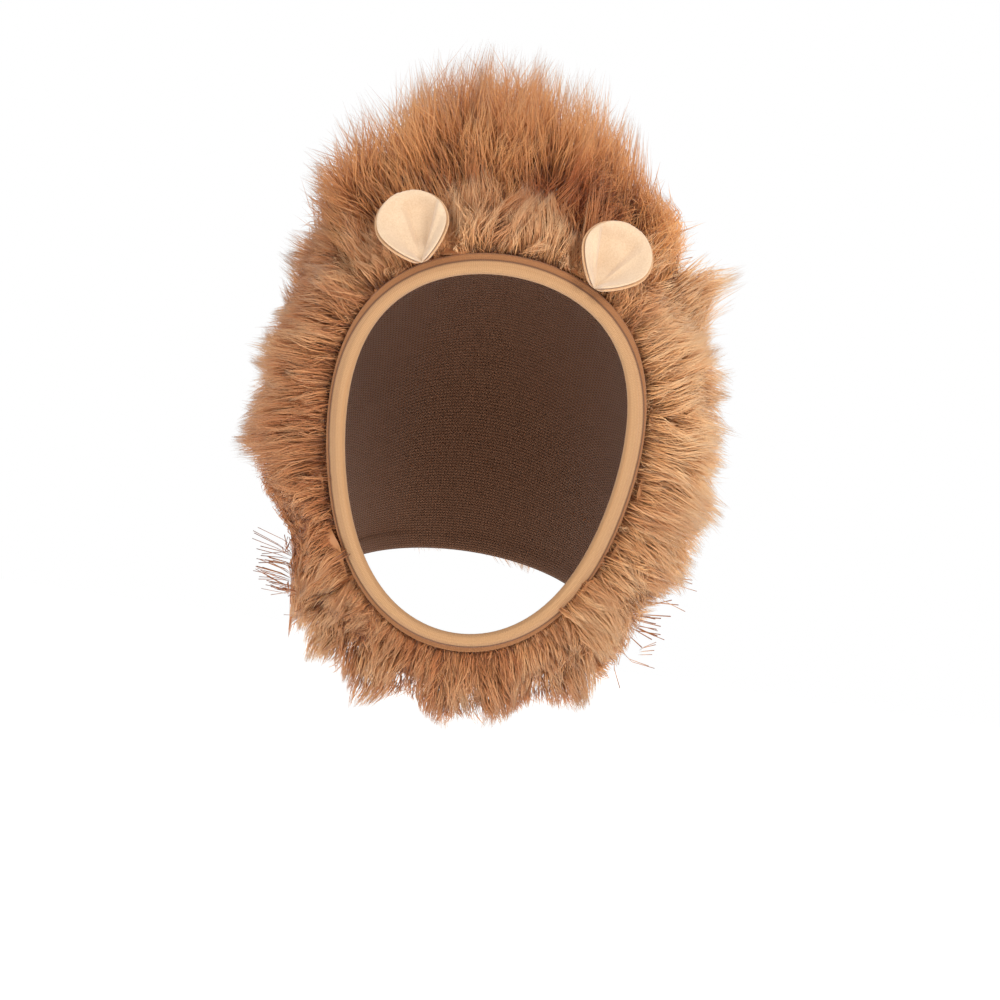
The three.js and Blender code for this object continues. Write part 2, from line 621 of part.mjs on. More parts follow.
const colours = {
  backing: new THREE.MeshStandardMaterial({ color: 0x8a5a38, roughness: 0.95, metalness: 0 }),
  tape: new THREE.MeshStandardMaterial({ color: 0xc4935f, roughness: 0.9, metalness: 0 }),
  cream: new THREE.MeshStandardMaterial({ color: 0xf6e0c4, roughness: 0.95, metalness: 0 }),
  fur: new THREE.MeshStandardMaterial({ color: 0xb5763f, roughness: 0.85, metalness: 0 }),
  crest: new THREE.MeshStandardMaterial({ color: 0xa9693a, roughness: 0.85, metalness: 0 }),
};

const wig = new THREE.Group();
wig.name = "lion_mane_wig";

function addPiece(name, solid, material) {
  const mesh = new THREE.Mesh(geometryFrom(solid), material);
  mesh.name = name;
  wig.add(mesh);
}

for (const piece of CLOTHS) {
  addPiece(piece.name, backingSolid(piece), colours.backing);
}
addPiece("face_binding", bindingSolid(), colours.tape);

const cloth = clothRoom();
const rooms = [];
for (const ear of EARS) {
  const { front, back, room } = earSolids(ear);
  addPiece(`${ear.side}_ear_front`, front, colours.cream);
  addPiece(`${ear.side}_ear_back`, back, colours.tape);
  rooms.push(room);
}

for (const [index, panel] of PANELS.entries()) {
  const fur = rooms.reduce((left, room) => left.subtract(room), panelSolid(panel, index, [cloth]));
  addPiece(panel.name, mainBody(fur), panel.name === "crest_fur" ? colours.crest : colours.fur);
  rooms.push(panelSolid(panel, index, [cloth], FUR_CLEARANCE));
}

export default wig;
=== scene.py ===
"""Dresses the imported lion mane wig: strands of fake fur, knit cloth, fleece ears and a soft studio.

The frame holds the hood's cloth, its binding, two ears and six panels of fur as plain solids. Each is
replaced here by a piece that looks like the real one and keeps its form. Lengths are in metres, in the
frame's own axes: +Z up, the face opening towards -Y, +X to the viewer's right.
"""

from __future__ import annotations

import json
import logging
import math
from dataclasses import dataclass, field, replace
from enum import Enum

import bpy
import numpy as np
from mathutils import Matrix, Vector
from mathutils.bvhtree import BVHTree
from mathutils.kdtree import KDTree

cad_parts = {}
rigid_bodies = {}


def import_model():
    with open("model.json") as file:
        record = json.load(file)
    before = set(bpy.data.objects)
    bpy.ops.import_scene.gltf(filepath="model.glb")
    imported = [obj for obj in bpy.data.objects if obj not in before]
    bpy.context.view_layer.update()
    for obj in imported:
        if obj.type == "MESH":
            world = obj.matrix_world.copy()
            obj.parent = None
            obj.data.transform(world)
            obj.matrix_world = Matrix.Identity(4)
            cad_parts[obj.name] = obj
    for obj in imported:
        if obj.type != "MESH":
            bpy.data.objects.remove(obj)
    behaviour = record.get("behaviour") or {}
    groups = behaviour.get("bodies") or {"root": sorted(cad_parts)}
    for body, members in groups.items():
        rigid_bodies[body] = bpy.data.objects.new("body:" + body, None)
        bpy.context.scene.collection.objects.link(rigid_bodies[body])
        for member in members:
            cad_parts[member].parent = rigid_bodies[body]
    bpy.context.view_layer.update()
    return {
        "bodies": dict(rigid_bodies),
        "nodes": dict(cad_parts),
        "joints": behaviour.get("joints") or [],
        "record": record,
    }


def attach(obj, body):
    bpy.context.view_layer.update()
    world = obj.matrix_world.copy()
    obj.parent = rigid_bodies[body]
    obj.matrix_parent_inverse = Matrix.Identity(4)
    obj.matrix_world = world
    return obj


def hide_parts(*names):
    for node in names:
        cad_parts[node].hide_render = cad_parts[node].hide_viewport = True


LOG = logging.getLogger("mane")
TURN = 2 * math.pi
MERGE_GAP = 1e-5  # corners of one solid that are nearer than this are the same corner
QUAD_BEND = math.radians(60)  # how much two triangles may be bent and still make one quad
QUAD_SKEW = math.radians(80)
FACE_MIDDLE = (0.0, -0.050, -0.100)
FUR_MAP = "OFBake"  # a strand's own map: its tone across, its length up
CLOTH_MAP = "Weave"  # metres round and along the hood

Colour = tuple[float, float, float]


def srgb(red: int, green: int, blue: int) -> Colour:
    """A colour given as on screen, turned into the linear values that shaders use.

    Args:
        red: From 0 to 255.
        green: From 0 to 255.
        blue: From 0 to 255.

    Returns:
        The linear colour.
    """
    parts = (value / 255 for value in (red, green, blue))
    return tuple(p / 12.92 if p <= 0.04045 else ((p + 0.055) / 1.055) ** 2.4 for p in parts)


def unit(vectors: np.ndarray) -> np.ndarray:
    """Vectors along the last axis, scaled to a length of one."""
    return vectors / np.maximum(np.linalg.norm(vectors, axis=-1, keepdims=True), 1e-12)


def smooth(low: float, high: float, value: np.ndarray) -> np.ndarray:
    """A soft step from 0 at low to 1 at high."""
    share = np.clip((value - low) / (high - low), 0.0, 1.0)
    return share * share * (3.0 - 2.0 * share)


class Zone(Enum):
    """The three ways in which the fur is combed, by the place round the hood."""

    TOP = "top"
    SIDE = "side"
    UNDER = "under"


class Side(Enum):
    """The viewer's left or right."""

    LEFT = "left"
    RIGHT = "right"


class Held(Enum):
    """How a sheet of cloth keeps its form."""

    STRETCHED = "stretched"
    FOLDED = "folded"
    GATHERED = "gathered"


# Finishes


class Wiring:
    """A material's nodes while they are being joined up."""

    def __init__(self, name: str) -> None:
        """Starts a material with its main shader.

        Args:
            name: The material's name.
        """
        self.material = bpy.data.materials.new(name)
        self.material.use_nodes = True
        self.tree = self.material.node_tree
        self.shader = self.tree.nodes["Principled BSDF"]

    def node(self, kind: str, inputs: dict[str, object] | None = None, **settings: object) -> bpy.types.Node:
        """Adds a node.

        Args:
            kind: The node's type, without its ShaderNode prefix.
            inputs: Values or output sockets for its inputs, by name or number.
            settings: Its own properties.

        Returns:
            The node.
        """
        made = self.tree.nodes.new(f"ShaderNode{kind}")
        for key, value in settings.items():
            setattr(made, key, value)
        for key, value in (inputs or {}).items():
            self.feed(made.inputs[key], value)
        return made

    def feed(self, socket: bpy.types.NodeSocket, value: object) -> None:
        """Gives an input a value or joins it to an output.

        Args:
            socket: The input.
            value: A number, a colour or an output socket.
        """
        if isinstance(value, bpy.types.NodeSocket):
            self.tree.links.new(value, socket)
        elif isinstance(value, tuple) and len(value) == 3 and socket.type == "RGBA":
            socket.default_value = (*value, 1.0)
        else:
            socket.default_value = value

    def sums(self, operation: str, *values: object) -> bpy.types.NodeSocket:
        """One step of arithmetic.

        Args:
            operation: The Math node's operation.
            values: Numbers or output sockets.

        Returns:
            The result's socket.
        """
        return self.node("Math", dict(enumerate(values)), operation=operation).outputs[0]

    def ramp(self, factor: bpy.types.NodeSocket, stops: list[tuple[float, Colour]]) -> bpy.types.NodeSocket:
        """A colour ramp.

        Args:
            factor: What runs along the ramp.
            stops: Each stop's place and colour, in order.

        Returns:
            The colour's socket.
        """
        made = self.node("ValToRGB", {"Fac": factor})
        stretch = made.color_ramp.elements
        while len(stretch) < len(stops):
            stretch.new(1.0)
        for element, (place, colour) in zip(stretch, stops):
            element.position = place
            element.color = (*colour, 1.0)
        return made.outputs["Color"]

    def mix(self, factor: object, first: object, second: object) -> bpy.types.NodeSocket:
        """Mixes two colours.

        Args:
            factor: From 0, the first, to 1, the second.
            first: A colour or its socket.
            second: A colour or its socket.

        Returns:
            The mixed colour's socket.
        """
        made = self.node("Mix", data_type="RGBA")
        for index, value in ((0, factor), (6, first), (7, second)):
            self.feed(made.inputs[index], value)
        return made.outputs[2]

    def noise(self, place: bpy.types.NodeSocket, scale: float, detail: float = 2.0) -> bpy.types.NodeSocket:
        """A cloudy pattern with about scale patches to the metre."""
        made = self.node("TexNoise", {"Vector": place, "Scale": scale, "Detail": detail})
        return made.outputs["Fac"]

    def span(self, value: bpy.types.NodeSocket, low: float, high: float) -> bpy.types.NodeSocket:
        """How far a value is from low to high, as a share from 0 to 1."""
        return self.node("MapRange", {0: value, 1: low, 2: high}).outputs[0]

    def finish(
        self, colour: object, roughness: float, height: object = None, depth: float = 0.0, **own: object
    ) -> bpy.types.Material:
        """Joins what was made to the shader.

        Args:
            colour: The base colour or its socket.
            roughness: The same all over.
            height: A socket for the relief, if there is one.
            depth: The relief's depth in metres.
            own: Other inputs of the shader, with _ for a space in their names.

        Returns:
            The material.
        """
        self.feed(self.shader.inputs["Base Color"], colour)
        self.shader.inputs["Roughness"].default_value = roughness
        for key, value in own.items():
            self.feed(self.shader.inputs[key.replace("_", " ")], value)
        if height is not None:
            bump = self.node("Bump", {"Height": height, "Strength": 1.0, "Distance": depth})
            self.tree.links.new(bump.outputs["Normal"], self.shader.inputs["Normal"])
        return self.material


@dataclass(frozen=True)
class FurFinish:
    """Long fake fur: darker at the root, full in colour along the hair, with a thin darker tip."""

    name: str
    deep: tuple[Colour, Colour, Colour, Colour]
    pale: tuple[Colour, Colour, Colour, Colour]
    stops: tuple[float, float, float, float] = (0.0, 0.35, 0.84, 1.0)
    roughness: float = 0.48
    sheen: float = 0.12

    def build(self) -> bpy.types.Material:
        """Makes the material, whose colour depends on a strand's tone and on the place along it."""
        wiring = Wiring(self.name)
        place = wiring.node("UVMap", uv_map=FUR_MAP).outputs["UV"]
        split = wiring.node("SeparateXYZ", {"Vector": place}).outputs
        deep = wiring.ramp(split["Y"], list(zip(self.stops, self.deep)))
        pale = wiring.ramp(split["Y"], list(zip(self.stops, self.pale)))
        colour = wiring.mix(split["X"], deep, pale)
        return wiring.finish(
            colour, self.roughness, Specular_IOR_Level=0.35, Sheen_Weight=self.sheen, Sheen_Roughness=0.4
        )


@dataclass(frozen=True)
class KnitFinish:
    """Knitted cloth: columns of V-shaped stitches that run along the piece, with painted shade in the hollows
    between them.
    """

    name: str
    yarn: Colour
    shade: Colour
    wale: float
    course: float
    depth: float
    roughness: float = 0.85
    rim: Colour | None = None
    rim_start: float = 0.0
    rim_blend: float = 0.0002
    groove: Colour = (0.0, 0.0, 0.0)
    groove_width: float = 0.0005
    slant: float = 0.55
    bow: tuple[float, float] = (2.1, 0.7)
    slubs: float = 260.0
    slub_share: float = 0.35
    slub_shade: float = 0.72

    def build(self) -> bpy.types.Material:
        """Makes the material from the piece's own map, which is in metres."""
        wiring = Wiring(self.name)
        place = wiring.node("UVMap", uv_map=CLOTH_MAP).outputs["UV"]
        split = wiring.node("SeparateXYZ", {"Vector": place}).outputs
        across = wiring.sums("FRACT", wiring.sums("DIVIDE", split["X"], self.wale))
        off_middle = wiring.sums("ABSOLUTE", wiring.sums("MULTIPLY_ADD", across, 2.0, -1.0))
        along = wiring.sums("DIVIDE", split["Y"], self.course)
        row = wiring.sums("FRACT", wiring.sums("MULTIPLY_ADD", off_middle, self.slant, along))
        arch = wiring.sums("SINE", wiring.sums("MULTIPLY", row, math.pi))
        side = wiring.sums("SINE", wiring.sums("MULTIPLY_ADD", off_middle, *self.bow))
        stitch = wiring.sums("MULTIPLY", arch, side)
        slub = wiring.noise(wiring.node("TexCoord").outputs["Object"], self.slubs)
        # Painted shade: where the stitches' relief is low, in the hollows between them, the colour goes to
        # the shade colour.
        colour = wiring.mix(stitch, self.shade, self.yarn)
        dull = tuple(c * self.slub_shade for c in self.yarn)
        colour = wiring.mix(wiring.sums("MULTIPLY", slub, self.slub_share), colour, dull)
        if self.rim is not None:
            past = wiring.span(split["X"], self.rim_start, self.rim_start + self.rim_blend)
            colour = wiring.mix(past, colour, self.rim)
            # Painted shade: a dark line along the groove where the rim begins, at the turned seam.
            off = wiring.sums("ABSOLUTE", wiring.sums("SUBTRACT", split["X"], self.rim_start))
            colour = wiring.mix(wiring.span(off, self.groove_width, 0.0), colour, self.groove)
        return wiring.finish(
            colour, self.roughness, stitch, self.depth, Sheen_Weight=0.15, Sheen_Roughness=0.5
        )


@dataclass(frozen=True)
class FleeceFinish:
    """Short-nap fleece: a soft surface with small tufts, painted shade in their hollows and a faint sheen at
    its rim.
    """

    name: str
    colour: Colour
    shade: Colour
    nap: float = 1500.0
    patches: float = 110.0
    depth: float = 0.00025
    roughness: float = 0.9

    def build(self) -> bpy.types.Material:
        """Makes the material from the piece's place in the object."""
        wiring = Wiring(self.name)
        place = wiring.node("TexCoord").outputs["Object"]
        nap = wiring.noise(place, self.nap, 3.0)
        # The nap's low places, which the bump also lowers, take the shade colour as painted shade; the broad
        # patches add a darker tone at random.
        fine = wiring.span(nap, 0.35, 0.65)
        broad = wiring.span(wiring.noise(place, self.patches), 0.3, 0.7)
        tone = wiring.sums("MULTIPLY_ADD", fine, 0.55, wiring.sums("MULTIPLY", broad, 0.45))
        colour = wiring.mix(tone, self.shade, self.colour)
        return wiring.finish(colour, self.roughness, nap, self.depth, Sheen_Weight=0.4, Sheen_Roughness=0.6)


MANE_FUR = FurFinish(
    "mane fur",
    deep=(srgb(122, 66, 36), srgb(182, 108, 60), srgb(202, 130, 78), srgb(146, 98, 70)),
    pale=(srgb(168, 104, 60), srgb(240, 182, 122), srgb(252, 212, 164), srgb(200, 160, 128)),
)
CREST_FUR = FurFinish(
    "crest fur",
    deep=(srgb(104, 50, 26), srgb(164, 86, 44), srgb(186, 106, 58), srgb(130, 80, 54)),
    pale=(srgb(148, 84, 46), srgb(238, 166, 100), srgb(248, 188, 124), srgb(188, 142, 106)),
)
# A knit's second colour is painted shade in the hollows between its stitches.
KNIT_BACKING = KnitFinish(
    "knit backing", srgb(142, 96, 64), srgb(84, 50, 32), wale=0.0017, course=0.0013, depth=0.0004
)
KNIT_TAPE = KnitFinish(
    "knit tape",
    srgb(204, 158, 112),
    srgb(174, 128, 84),
    wale=0.0009,
    course=0.0007,
    depth=0.0002,
    rim=srgb(154, 102, 60),
    rim_start=0.0041,
    # The groove colour is painted shade in the groove at the turned seam.
    groove=srgb(92, 54, 32),
)
# A fleece's second colour is painted shade in the low places of its nap, and a random darker tone in broad
# patches.
EAR_FLEECE = FleeceFinish("ear fleece", srgb(222, 194, 162), srgb(206, 174, 140))
EAR_BACK_FLEECE = FleeceFinish("ear back fleece", srgb(212, 168, 122), srgb(190, 144, 100))


# Making pieces


def deselect() -> None:
    """Leaves nothing selected."""
    bpy.ops.object.select_all(action="DESELECT")


def pick(piece: bpy.types.Object) -> None:
    """Makes a piece the only one that is selected, and the active one.

    Args:
        piece: The object.
    """
    deselect()
    piece.select_set(True)
    bpy.context.view_layer.objects.active = piece


def dress(
    piece: bpy.types.Object, finish: FurFinish | KnitFinish | FleeceFinish, nodes: tuple[str, ...]
) -> None:
    """Shades a piece smoothly, gives it its finish and ties it to the frame.

    Args:
        piece: The object.
        finish: Its finish, whose material is made once.
        nodes: The CAD nodes that it replaces.
    """
    pick(piece)
    bpy.ops.object.shade_smooth()
    piece.data.materials.clear()
    piece.data.materials.append(bpy.data.materials.get(finish.name) or finish.build())
    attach(piece, "root")
    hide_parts(*nodes)
    piece.data.calc_loop_triangles()
    LOG.info("%s: %d triangles, for %s", piece.name, len(piece.data.loop_triangles), ", ".join(nodes))


def copy_of(nodes: list[bpy.types.Object], name: str, gap: float = MERGE_GAP) -> bpy.types.Object:
    """A quad mesh made from one or more CAD nodes, whose loose triangles are merged.

    Args:
        nodes: The CAD nodes.
        name: The new object's name.
        gap: Corners nearer than this are merged.

    Returns:
        The new object.
    """
    deselect()
    copies = []
    for node in nodes:
        twin = bpy.data.objects.new(name, node.data.copy())
        bpy.context.scene.collection.objects.link(twin)
        twin.data.materials.clear()
        twin.select_set(True)
        copies.append(twin)
    piece = copies[0]
    bpy.context.view_layer.objects.active = piece
    if len(copies) > 1:
        bpy.ops.object.join()
    piece.name = name
    if piece.data.has_custom_normals:
        bpy.ops.mesh.customdata_custom_splitnormals_clear()
    for layer in list(piece.data.uv_layers):
        piece.data.uv_layers.remove(layer)
    bpy.ops.object.mode_set(mode="EDIT")
    bpy.ops.mesh.select_all(action="SELECT")
    bpy.ops.mesh.remove_doubles(threshold=gap)
    bpy.ops.mesh.tris_convert_to_quads(face_threshold=QUAD_BEND, shape_threshold=QUAD_SKEW)
    bpy.ops.mesh.select_all(action="DESELECT")
    bpy.ops.mesh.select_mode(type="FACE")
    bpy.ops.mesh.select_interior_faces()
    bpy.ops.mesh.delete(type="ONLY_FACE")
    bpy.ops.object.mode_set(mode="OBJECT")
    return piece


def soften(piece: bpy.types.Object, sharpness: float, weight: float, levels: int) -> None:
    """Rounds a piece by subdivision, with creases along its sharpest edges.

    Args:
        piece: The object.
        sharpness: Edges sharper than this angle in degrees are creased.
        weight: From 0, not creased, to 1, kept sharp.
        levels: How many times each face is cut.
    """
    pick(piece)
    bpy.ops.object.mode_set(mode="EDIT")
    bpy.ops.mesh.select_mode(type="EDGE")
    bpy.ops.mesh.select_all(action="DESELECT")
    bpy.ops.mesh.edges_select_sharp(sharpness=math.radians(sharpness))
    bpy.ops.transform.edge_crease(value=weight)
    bpy.ops.object.mode_set(mode="OBJECT")
    soft = piece.modifiers.new("Soften", "SUBSURF")
    soft.levels = soft.render_levels = levels
    bpy.ops.object.modifier_apply(modifier=soft.name)


# Reading and measuring meshes


def corners_of(mesh: bpy.types.Mesh) -> np.ndarray:
    """A mesh's corners as rows of x, y and z."""
    places = np.empty(len(mesh.vertices) * 3)
    mesh.vertices.foreach_get("co", places)
    return places.reshape(-1, 3)


def numbers_of(items: bpy.types.bpy_prop_collection, key: str, each: int = 1) -> np.ndarray:
    """The whole numbers that a mesh's items hold under a name, in one row."""
    values = np.empty(len(items) * each, int)
    items.foreach_get(key, values)
    return values


def lay_uv(mesh: bpy.types.Mesh, name: str, across: np.ndarray, up: np.ndarray) -> None:
    """Adds a map to a mesh, from two values for each corner of each face."""
    layer = mesh.uv_layers.new(name=name)
    layer.data.foreach_set("uv", np.column_stack([across, up]).astype(np.float32).ravel())


def unrolled(mesh: bpy.types.Mesh, angles: np.ndarray) -> tuple[np.ndarray, np.ndarray]:
    """Angles at the corners of a mesh's faces, with no jump of a full turn inside a face.

    Args:
        mesh: The mesh.
        angles: An angle for each of its corners.

    Returns:
        For each corner of each face the mesh's corner there, and its angle.
    """
    which = numbers_of(mesh.loops, "vertex_index")
    at = angles[which]
    first = at[numbers_of(mesh.polygons, "loop_start")]
    first = np.repeat(first, numbers_of(mesh.polygons, "loop_total"))
    return which, first + np.mod(at - first + math.pi, TURN) - math.pi


def sectors_of(angles: np.ndarray, count: int) -> tuple[np.ndarray, np.ndarray]:
    """Each angle's sector, when a full turn is cut into a number of them, and the sectors' middles."""
    own = np.clip(((angles + math.pi) / TURN * count).astype(int), 0, count - 1)
    return own, np.linspace(-math.pi, math.pi, count + 1)[:-1] + math.pi / count


def even_ring(values: np.ndarray, times: int) -> np.ndarray:
    """Values round a ring, each averaged with its neighbours a number of times."""
    for _ in range(times):
        values = 0.25 * np.roll(values, 1) + 0.5 * values + 0.25 * np.roll(values, -1)
    return values


def bell(value: np.ndarray, width: float) -> np.ndarray:
    """1 where the value is 0, falling softly to 0 on both sides."""
    return np.exp(-((value / width) ** 2))


def dots(first: np.ndarray, second: np.ndarray) -> np.ndarray:
    """The dot product of each row of one array with the same row of another."""
    return np.einsum("ij,ij->i", first, second)


def tree_of(places: np.ndarray) -> KDTree:
    """A tree that finds the nearest of many places."""
    tree = KDTree(len(places))
    for i, place in enumerate(places):
        tree.insert(place, i)
    tree.balance()
    return tree


def tree_of_meshes(pieces: list[bpy.types.Object]) -> BVHTree:
    """One tree that finds the nearest point on any of several pieces.

    Args:
        pieces: Objects whose places are in their meshes.

    Returns:
        The tree.
    """
    corners: list[np.ndarray] = []
    faces: list[list[int]] = []
    first = 0
    for piece in pieces:
        places = corners_of(piece.data)
        faces += [[first + i for i in face.vertices] for face in piece.data.polygons]
        corners.append(places)
        first += len(places)
    return BVHTree.FromPolygons(np.concatenate(corners).tolist(), faces)


def nearest_of(tree: KDTree, points: np.ndarray) -> tuple[np.ndarray, np.ndarray, np.ndarray]:
    """For each point the nearest of a tree's places, that place's number and how far off it is."""
    found = [tree.find(point) for point in points]
    return tuple(np.array([item[i] for item in found]) for i in range(3))


def nearest_on(surface: BVHTree, points: np.ndarray) -> tuple[np.ndarray, np.ndarray, np.ndarray]:
    """For each point the nearest place on a surface, the way it faces there and how far off it is."""
    found = [surface.find_nearest(Vector(point)) for point in points]
    return tuple(np.array([item[i] for item in found]) for i in (0, 1, 3))


def surface_of(node: bpy.types.Object) -> tuple[np.ndarray, np.ndarray, np.ndarray]:
    """A solid's triangles: their corners, their normals and their areas."""
    mesh = node.data
    mesh.calc_loop_triangles()
    which = numbers_of(mesh.loop_triangles, "vertices", 3)
    triangles = corners_of(mesh)[which.reshape(-1, 3)]
    normal = np.cross(triangles[:, 1] - triangles[:, 0], triangles[:, 2] - triangles[:, 0])
    return triangles, unit(normal), np.linalg.norm(normal, axis=1) / 2


def scatter(
    triangles: np.ndarray, weights: np.ndarray, count: int, rng: np.random.Generator
) -> tuple[np.ndarray, np.ndarray]:
    """Random points on triangles.

    Args:
        triangles: The triangles' corners.
        weights: How many points each draws, in proportion.
        count: How many points.
        rng: Where the places come from.

    Returns:
        The points, and each one's triangle.
    """
    chosen = rng.choice(len(triangles), count, p=weights / weights.sum())
    a, b = rng.random((2, count, 1))
    over = (a + b) > 1
    a, b = np.where(over, 1 - a, a), np.where(over, 1 - b, b)
    corner = triangles[chosen]
    return corner[:, 0] + a * (corner[:, 1] - corner[:, 0]) + b * (corner[:, 2] - corner[:, 0]), chosen


def flow(places: np.ndarray, rng: np.random.Generator, wave: float, waves: int = 7) -> np.ndarray:
    """A slow drift of the hair's direction from place to place.

    Args:
        places: Where the hairs are.
        rng: Where the drift's waves come from.
        wave: How long the waves are.
        waves: How many are laid over each other.

    Returns:
        A vector for each hair.
    """
    drift = np.zeros_like(places)
    for _ in range(waves):
        way = unit(rng.normal(size=3)) * 2 * math.pi / (wave * rng.uniform(0.6, 1.7))
        drift += np.sin(places @ way + rng.uniform(0, TURN))[:, None] * rng.normal(size=3)
    return drift / math.sqrt(waves)


# Where things are on the hood


@dataclass
class HoodMap:
    """Tells where a point lies on the hood: how far round from the top, and how far along from the face.

    The hood bends about a line across it near the throat, so a point's place along is the angle that it
    has turned about that line.
    """

    cloth: np.ndarray
    pivot: tuple[float, float] = (-0.020, -0.205)
    face_turn: float = math.radians(73.5)
    neck_turn: float = math.radians(153.0)
    bins: int = 14
    turns: np.ndarray = field(init=False)
    tops: np.ndarray = field(init=False)
    bottoms: np.ndarray = field(init=False)
    halves: np.ndarray = field(init=False)

    def __post_init__(self) -> None:
        """Measures the hood's top, bottom and half width at several turns."""
        turn, reach = self.polar(self.cloth)
        edges = np.linspace(self.face_turn, self.neck_turn, self.bins + 1)
        rows = []
        for low, high in zip(edges[:-1], edges[1:]):
            inside = (turn >= low) & (turn < high)
            half = np.abs(self.cloth[inside, 0]).max()
            rows.append(((low + high) / 2, reach[inside].max(), reach[inside].min(), half))
        self.turns, self.tops, self.bottoms, self.halves = np.array(rows).T

    def polar(self, points: np.ndarray) -> tuple[np.ndarray, np.ndarray]:
        """The turn about the pivot and the distance from it, seen from the side.

        Args:
            points: Rows of x, y and z.

        Returns:
            The turns in radians and the distances.
        """
        ahead = self.pivot[0] - points[:, 1]
        up = points[:, 2] - self.pivot[1]
        return np.arctan2(up, ahead), np.hypot(up, ahead)

    def locate(self, points: np.ndarray) -> tuple[np.ndarray, np.ndarray]:
        """Where points lie on the hood.

        Args:
            points: Rows of x, y and z.

        Returns:
            The angles round from the top in radians, right positive, and the shares along, 0 at the face.
        """
        turn, reach = self.polar(points)
        top = np.interp(turn, self.turns, self.tops)
        bottom = np.interp(turn, self.turns, self.bottoms)
        half = np.interp(turn, self.turns, self.halves)
        height = (2 * reach - top - bottom) / (top - bottom)
        around = np.arctan2(points[:, 0] / half, height)
        along = (turn - self.face_turn) / (self.neck_turn - self.face_turn)
        return around, along

    def lay_map(self, mesh: bpy.types.Mesh, round_size: float, along_size: float) -> None:
        """Gives a mesh a map in metres round and along the hood.

        Args:
            mesh: The mesh.
            round_size: The length of one radian round.
            along_size: The length from the face edge to the neck edge.
        """
        around, along = self.locate(corners_of(mesh))
        which, angles = unrolled(mesh, around)
        lay_uv(mesh, CLOTH_MAP, angles * round_size, along[which] * along_size)


@dataclass(frozen=True)
class Comb:
    """How the hair lies at one place along the hood.

    along is 0 at the face edge and 1 at the neck edge, and forward, fall and across bend the hair from
    straight out towards -Y, -Z and +X.
    """

    along: float
    length: float
    forward: float
    fall: float
    across: float


COMBS = {
    Zone.TOP: (
        Comb(0.03, 0.030, 0.12, -0.05, 0.0),
        Comb(0.12, 0.031, 0.15, -0.15, 0.0),
        Comb(0.18, 0.060, 0.25, -0.45, -0.25),
        Comb(0.24, 0.069, 0.22, -0.55, -0.32),
        Comb(0.40, 0.069, 0.02, -0.60, -0.34),
        Comb(0.57, 0.055, -0.20, -0.15, -0.20),
        Comb(0.77, 0.040, 0.0, 0.40, 0.0),
        Comb(0.97, 0.040, 0.0, 0.90, 0.0),
    ),
    Zone.SIDE: (
        Comb(0.03, 0.038, 0.05, 0.0, 0.0),
        Comb(0.16, 0.040, -0.20, 0.02, 0.0),
        Comb(0.43, 0.041, -0.60, 0.10, 0.0),
        Comb(0.77, 0.040, -0.70, 0.35, 0.0),
        Comb(0.97, 0.040, -0.50, 0.70, 0.0),
    ),
    Zone.UNDER: (
        Comb(0.03, 0.034, 0.05, 0.35, 0.0),
        Comb(0.30, 0.035, 0.0, 0.55, 0.0),
        Comb(0.77, 0.035, 0.0, 0.65, 0.0),
        Comb(0.97, 0.035, 0.0, 0.75, 0.0),
    ),
}
TOP_ENDS = (math.radians(34), math.radians(66))
UNDER_STARTS = (math.radians(112), math.radians(152))


def combed(around: np.ndarray, along: np.ndarray) -> dict[str, np.ndarray]:
    """The comb at many places on the hood.

    Args:
        around: Angles round from the top.
        along: Shares along from the face edge.

    Returns:
        The length, forward, fall and across at each place.
    """
    away = np.abs(around)
    top = 1 - smooth(*TOP_ENDS, away)
    under = smooth(*UNDER_STARTS, away)
    weights = {Zone.TOP: top, Zone.UNDER: under, Zone.SIDE: 1 - top - under}
    result = {}
    for key in ("length", "forward", "fall", "across"):
        total = np.zeros_like(along)
        for zone, line in COMBS.items():
            at = [comb.along for comb in line]
            total += weights[zone] * np.interp(along, at, [getattr(comb, key) for comb in line])
        result[key] = total
    return result


# Cloth


@dataclass
class HoodCloth:
    """The knitted backing of the fur, one seamless bent tube made from its sewn pieces."""

    nodes: tuple[str, ...] = (
        "crown_backing",
        "left_cheek_backing",
        "right_cheek_backing",
        "throat_backing",
        "nape_backing",
    )
    slot: str = "knit_backing"
    finish: KnitFinish = KNIT_BACKING
    seam: float = 0.0005
    round_size: float = 0.078
    along_size: float = 0.25
    cut: tuple[float, float] = (0.46, 0.26)
    cut_area: float = 0.076
    piece: bpy.types.Object = field(init=False)
    map: HoodMap = field(init=False)
    surface: BVHTree = field(init=False)

    def build(self, frame: dict) -> HoodCloth:
        """Makes the cloth and the map of the hood.


        Returns:
            This sub-assembly.
        """
        self.piece = copy_of([frame["nodes"][name] for name in self.nodes], "hood_cloth", self.seam)
        soften(self.piece, 50, 0.9, 2)
        self.map = HoodMap(corners_of(self.piece.data))
        self.map.lay_map(self.piece.data, self.round_size, self.along_size)
        self.surface = BVHTree.FromObject(self.piece, bpy.context.evaluated_depsgraph_get())
        return self

    def dress(self) -> None:
        dress(self.piece, self.finish, self.nodes)


